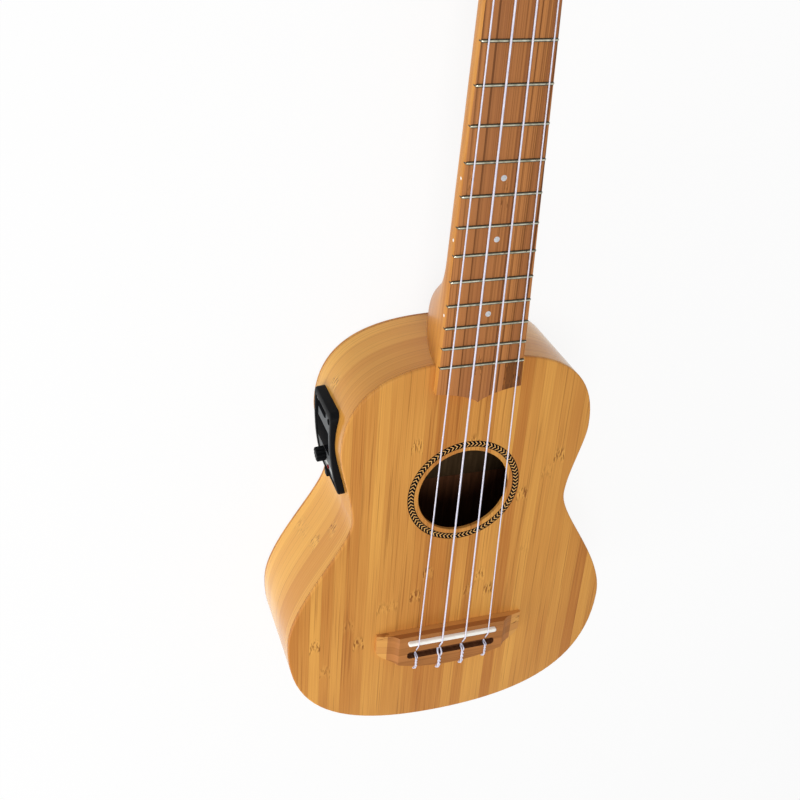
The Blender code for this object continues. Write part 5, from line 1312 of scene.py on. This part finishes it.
def button_loop(out, wide, thick, steps=48):
    """A rounded oval across the shaft."""
    soft = [[copysign(abs(c) ** BUTTON_SQUARENESS, c) for c in pair] for pair in circle(1, steps, 0)]
    return [(BUTTON_START + out, GEAR_AXES + wide * c, -WORM_BELOW + thick * s) for c, s in soft]


for label, (hand, spot) in zip("gcea", POSTS):
    unit = PLACE @ HEAD_PLACE @ Matrix.Translation(spot)
    turned = Matrix.Rotation(pi * (hand < 0), 4, "Z")
    under = unit @ Matrix.Translation((0, 0, -HEAD_THICKNESS)) @ turned
    from_cad(f"{label}_tuner_plate", NICKEL)
    from_cad(f"{label}_tuner_gear", NICKEL, f"{label}_post")
    name = f"{label}_tuner_worm"
    worm = move(cad_copy(name), under.inverted())
    end = cut(worm, (BUTTON_START + BUTTON_OVERLAP, 0, 0), (1, 0, 0), clear_outer=True)
    bmesh.ops.contextual_create(worm, geom=[e for e in end if isinstance(e, bmesh.types.BMEdge)])
    piece(name + "_look", worm, [NICKEL], f"{label}_worm", "", 40, under)
    bm = skin([button_loop(*station) for station in BUTTON], caps=True)
    piece(f"{label}_tuner_button", bm, [NICKEL], f"{label}_worm", place=under)
    for side, x in (("left", -SCREW_X), ("right", SCREW_X)):
        at = under @ Matrix.Translation((x, SCREW_Y, SCREW_Z))
        screw = stack(SCREW, 24, caps=True)
        piece(f"{label}_plate_screw_{side}", screw, [NICKEL], place=at)
    bushing = stack(BUSHING, 48, ring=True)
    piece(f"{label}_bushing", bushing, [NICKEL], place=unit)

# %% [markdown]
# ## Output jack
# The socket in the tail is a turned metal part, and a welded copy of the CAD solid stands for it.

# %% Output jack
from_cad("output_jack", NICKEL, sharp=30)

# %% [markdown]
# ## Stage and light
# A photographer's white table: the floor is white to the camera and keeps a faint shadow. Two soft boxes and
# an even white room light the object at a level where a colour comes out about as it was written.

# %% Stage and light
FLOOR_SIZE, FLOOR_BELOW, FLOOR_SHADOW = 4, 0.0004, 0.12
WHITE = (1, 1, 1, 1)
ROOM_LIGHT, ROOM_SEEN = 0.45, 1.0
AIM = Vector((0, 0.05, 0.03))


def looked_at(node):
    """1 for a ray that shows a thing, straight, mirrored or through glass, and 0 for one that lights it."""
    rays = node("LightPath")
    seen = node("MAXIMUM", rays["Is Camera Ray"], rays["Is Glossy Ray"])[0]
    return node("MAXIMUM", seen, rays["Is Transmission Ray"])[0]


def emptied(holder):
    """What adds a node to a material or a world whose own nodes are cleared."""
    holder.use_nodes = True
    holder.node_tree.nodes.clear()
    return partial(add, holder.node_tree)


# Paper so bright that its edge is lost, with a trace of shadow
paper = bpy.data.materials.new("white paper")
node = emptied(paper)
matte = node("BsdfDiffuse", linear("F4F4F4"))[0]
glow = node("Emission", WHITE, 1.0)[0]
share = node("MULTIPLY", looked_at(node), 1 - FLOOR_SHADOW)[0]
node("OutputMaterial", node("MixShader", share, matte, glow)[0])
bm = bmesh.new()
bmesh.ops.create_grid(bm, x_segments=1, y_segments=1, size=FLOOR_SIZE)
bmesh.ops.translate(bm, vec=(0, 0, -FLOOR_BELOW), verts=bm.verts)
floor = put("floor", mesh_from(bm, "floor", [paper]))
floor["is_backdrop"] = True

world = bpy.context.scene.world = bpy.data.worlds.new("white room")
node = emptied(world)
strength = node("MapRange", looked_at(node), 0, 1, ROOM_LIGHT, ROOM_SEEN)[0]
node("OutputWorld", node("Background", WHITE, strength)[0])


def soft_box(name, spot, size, watts):
    lamp = bpy.data.lights.new(name, "AREA")
    lamp.shape, lamp.size, lamp.energy = "DISK", size, watts
    made = put(name, lamp)
    made.location = spot
    made.rotation_euler = (AIM - Vector(spot)).to_track_quat("-Z", "Y").to_euler()
    print(f"{name} light: {watts} W, {(AIM - Vector(spot)).length:.2f} m away")


soft_box("key", (-0.36, 0.32, 1.2), 0.6, 7.5)
soft_box("side", (-1.0, -0.52, 0.27), 0.55, 6.6)
bpy.context.scene.view_settings.view_transform = "Standard"

# %% [markdown]
# ## Finish
# The last cell shows the CAD model's box and the dressed model's box side by side.

# %% Finish
boxes = {"cad": cad_box, "visual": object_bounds()}
{name: [list(corner) for corner in corners] for name, corners in boxes.items()}
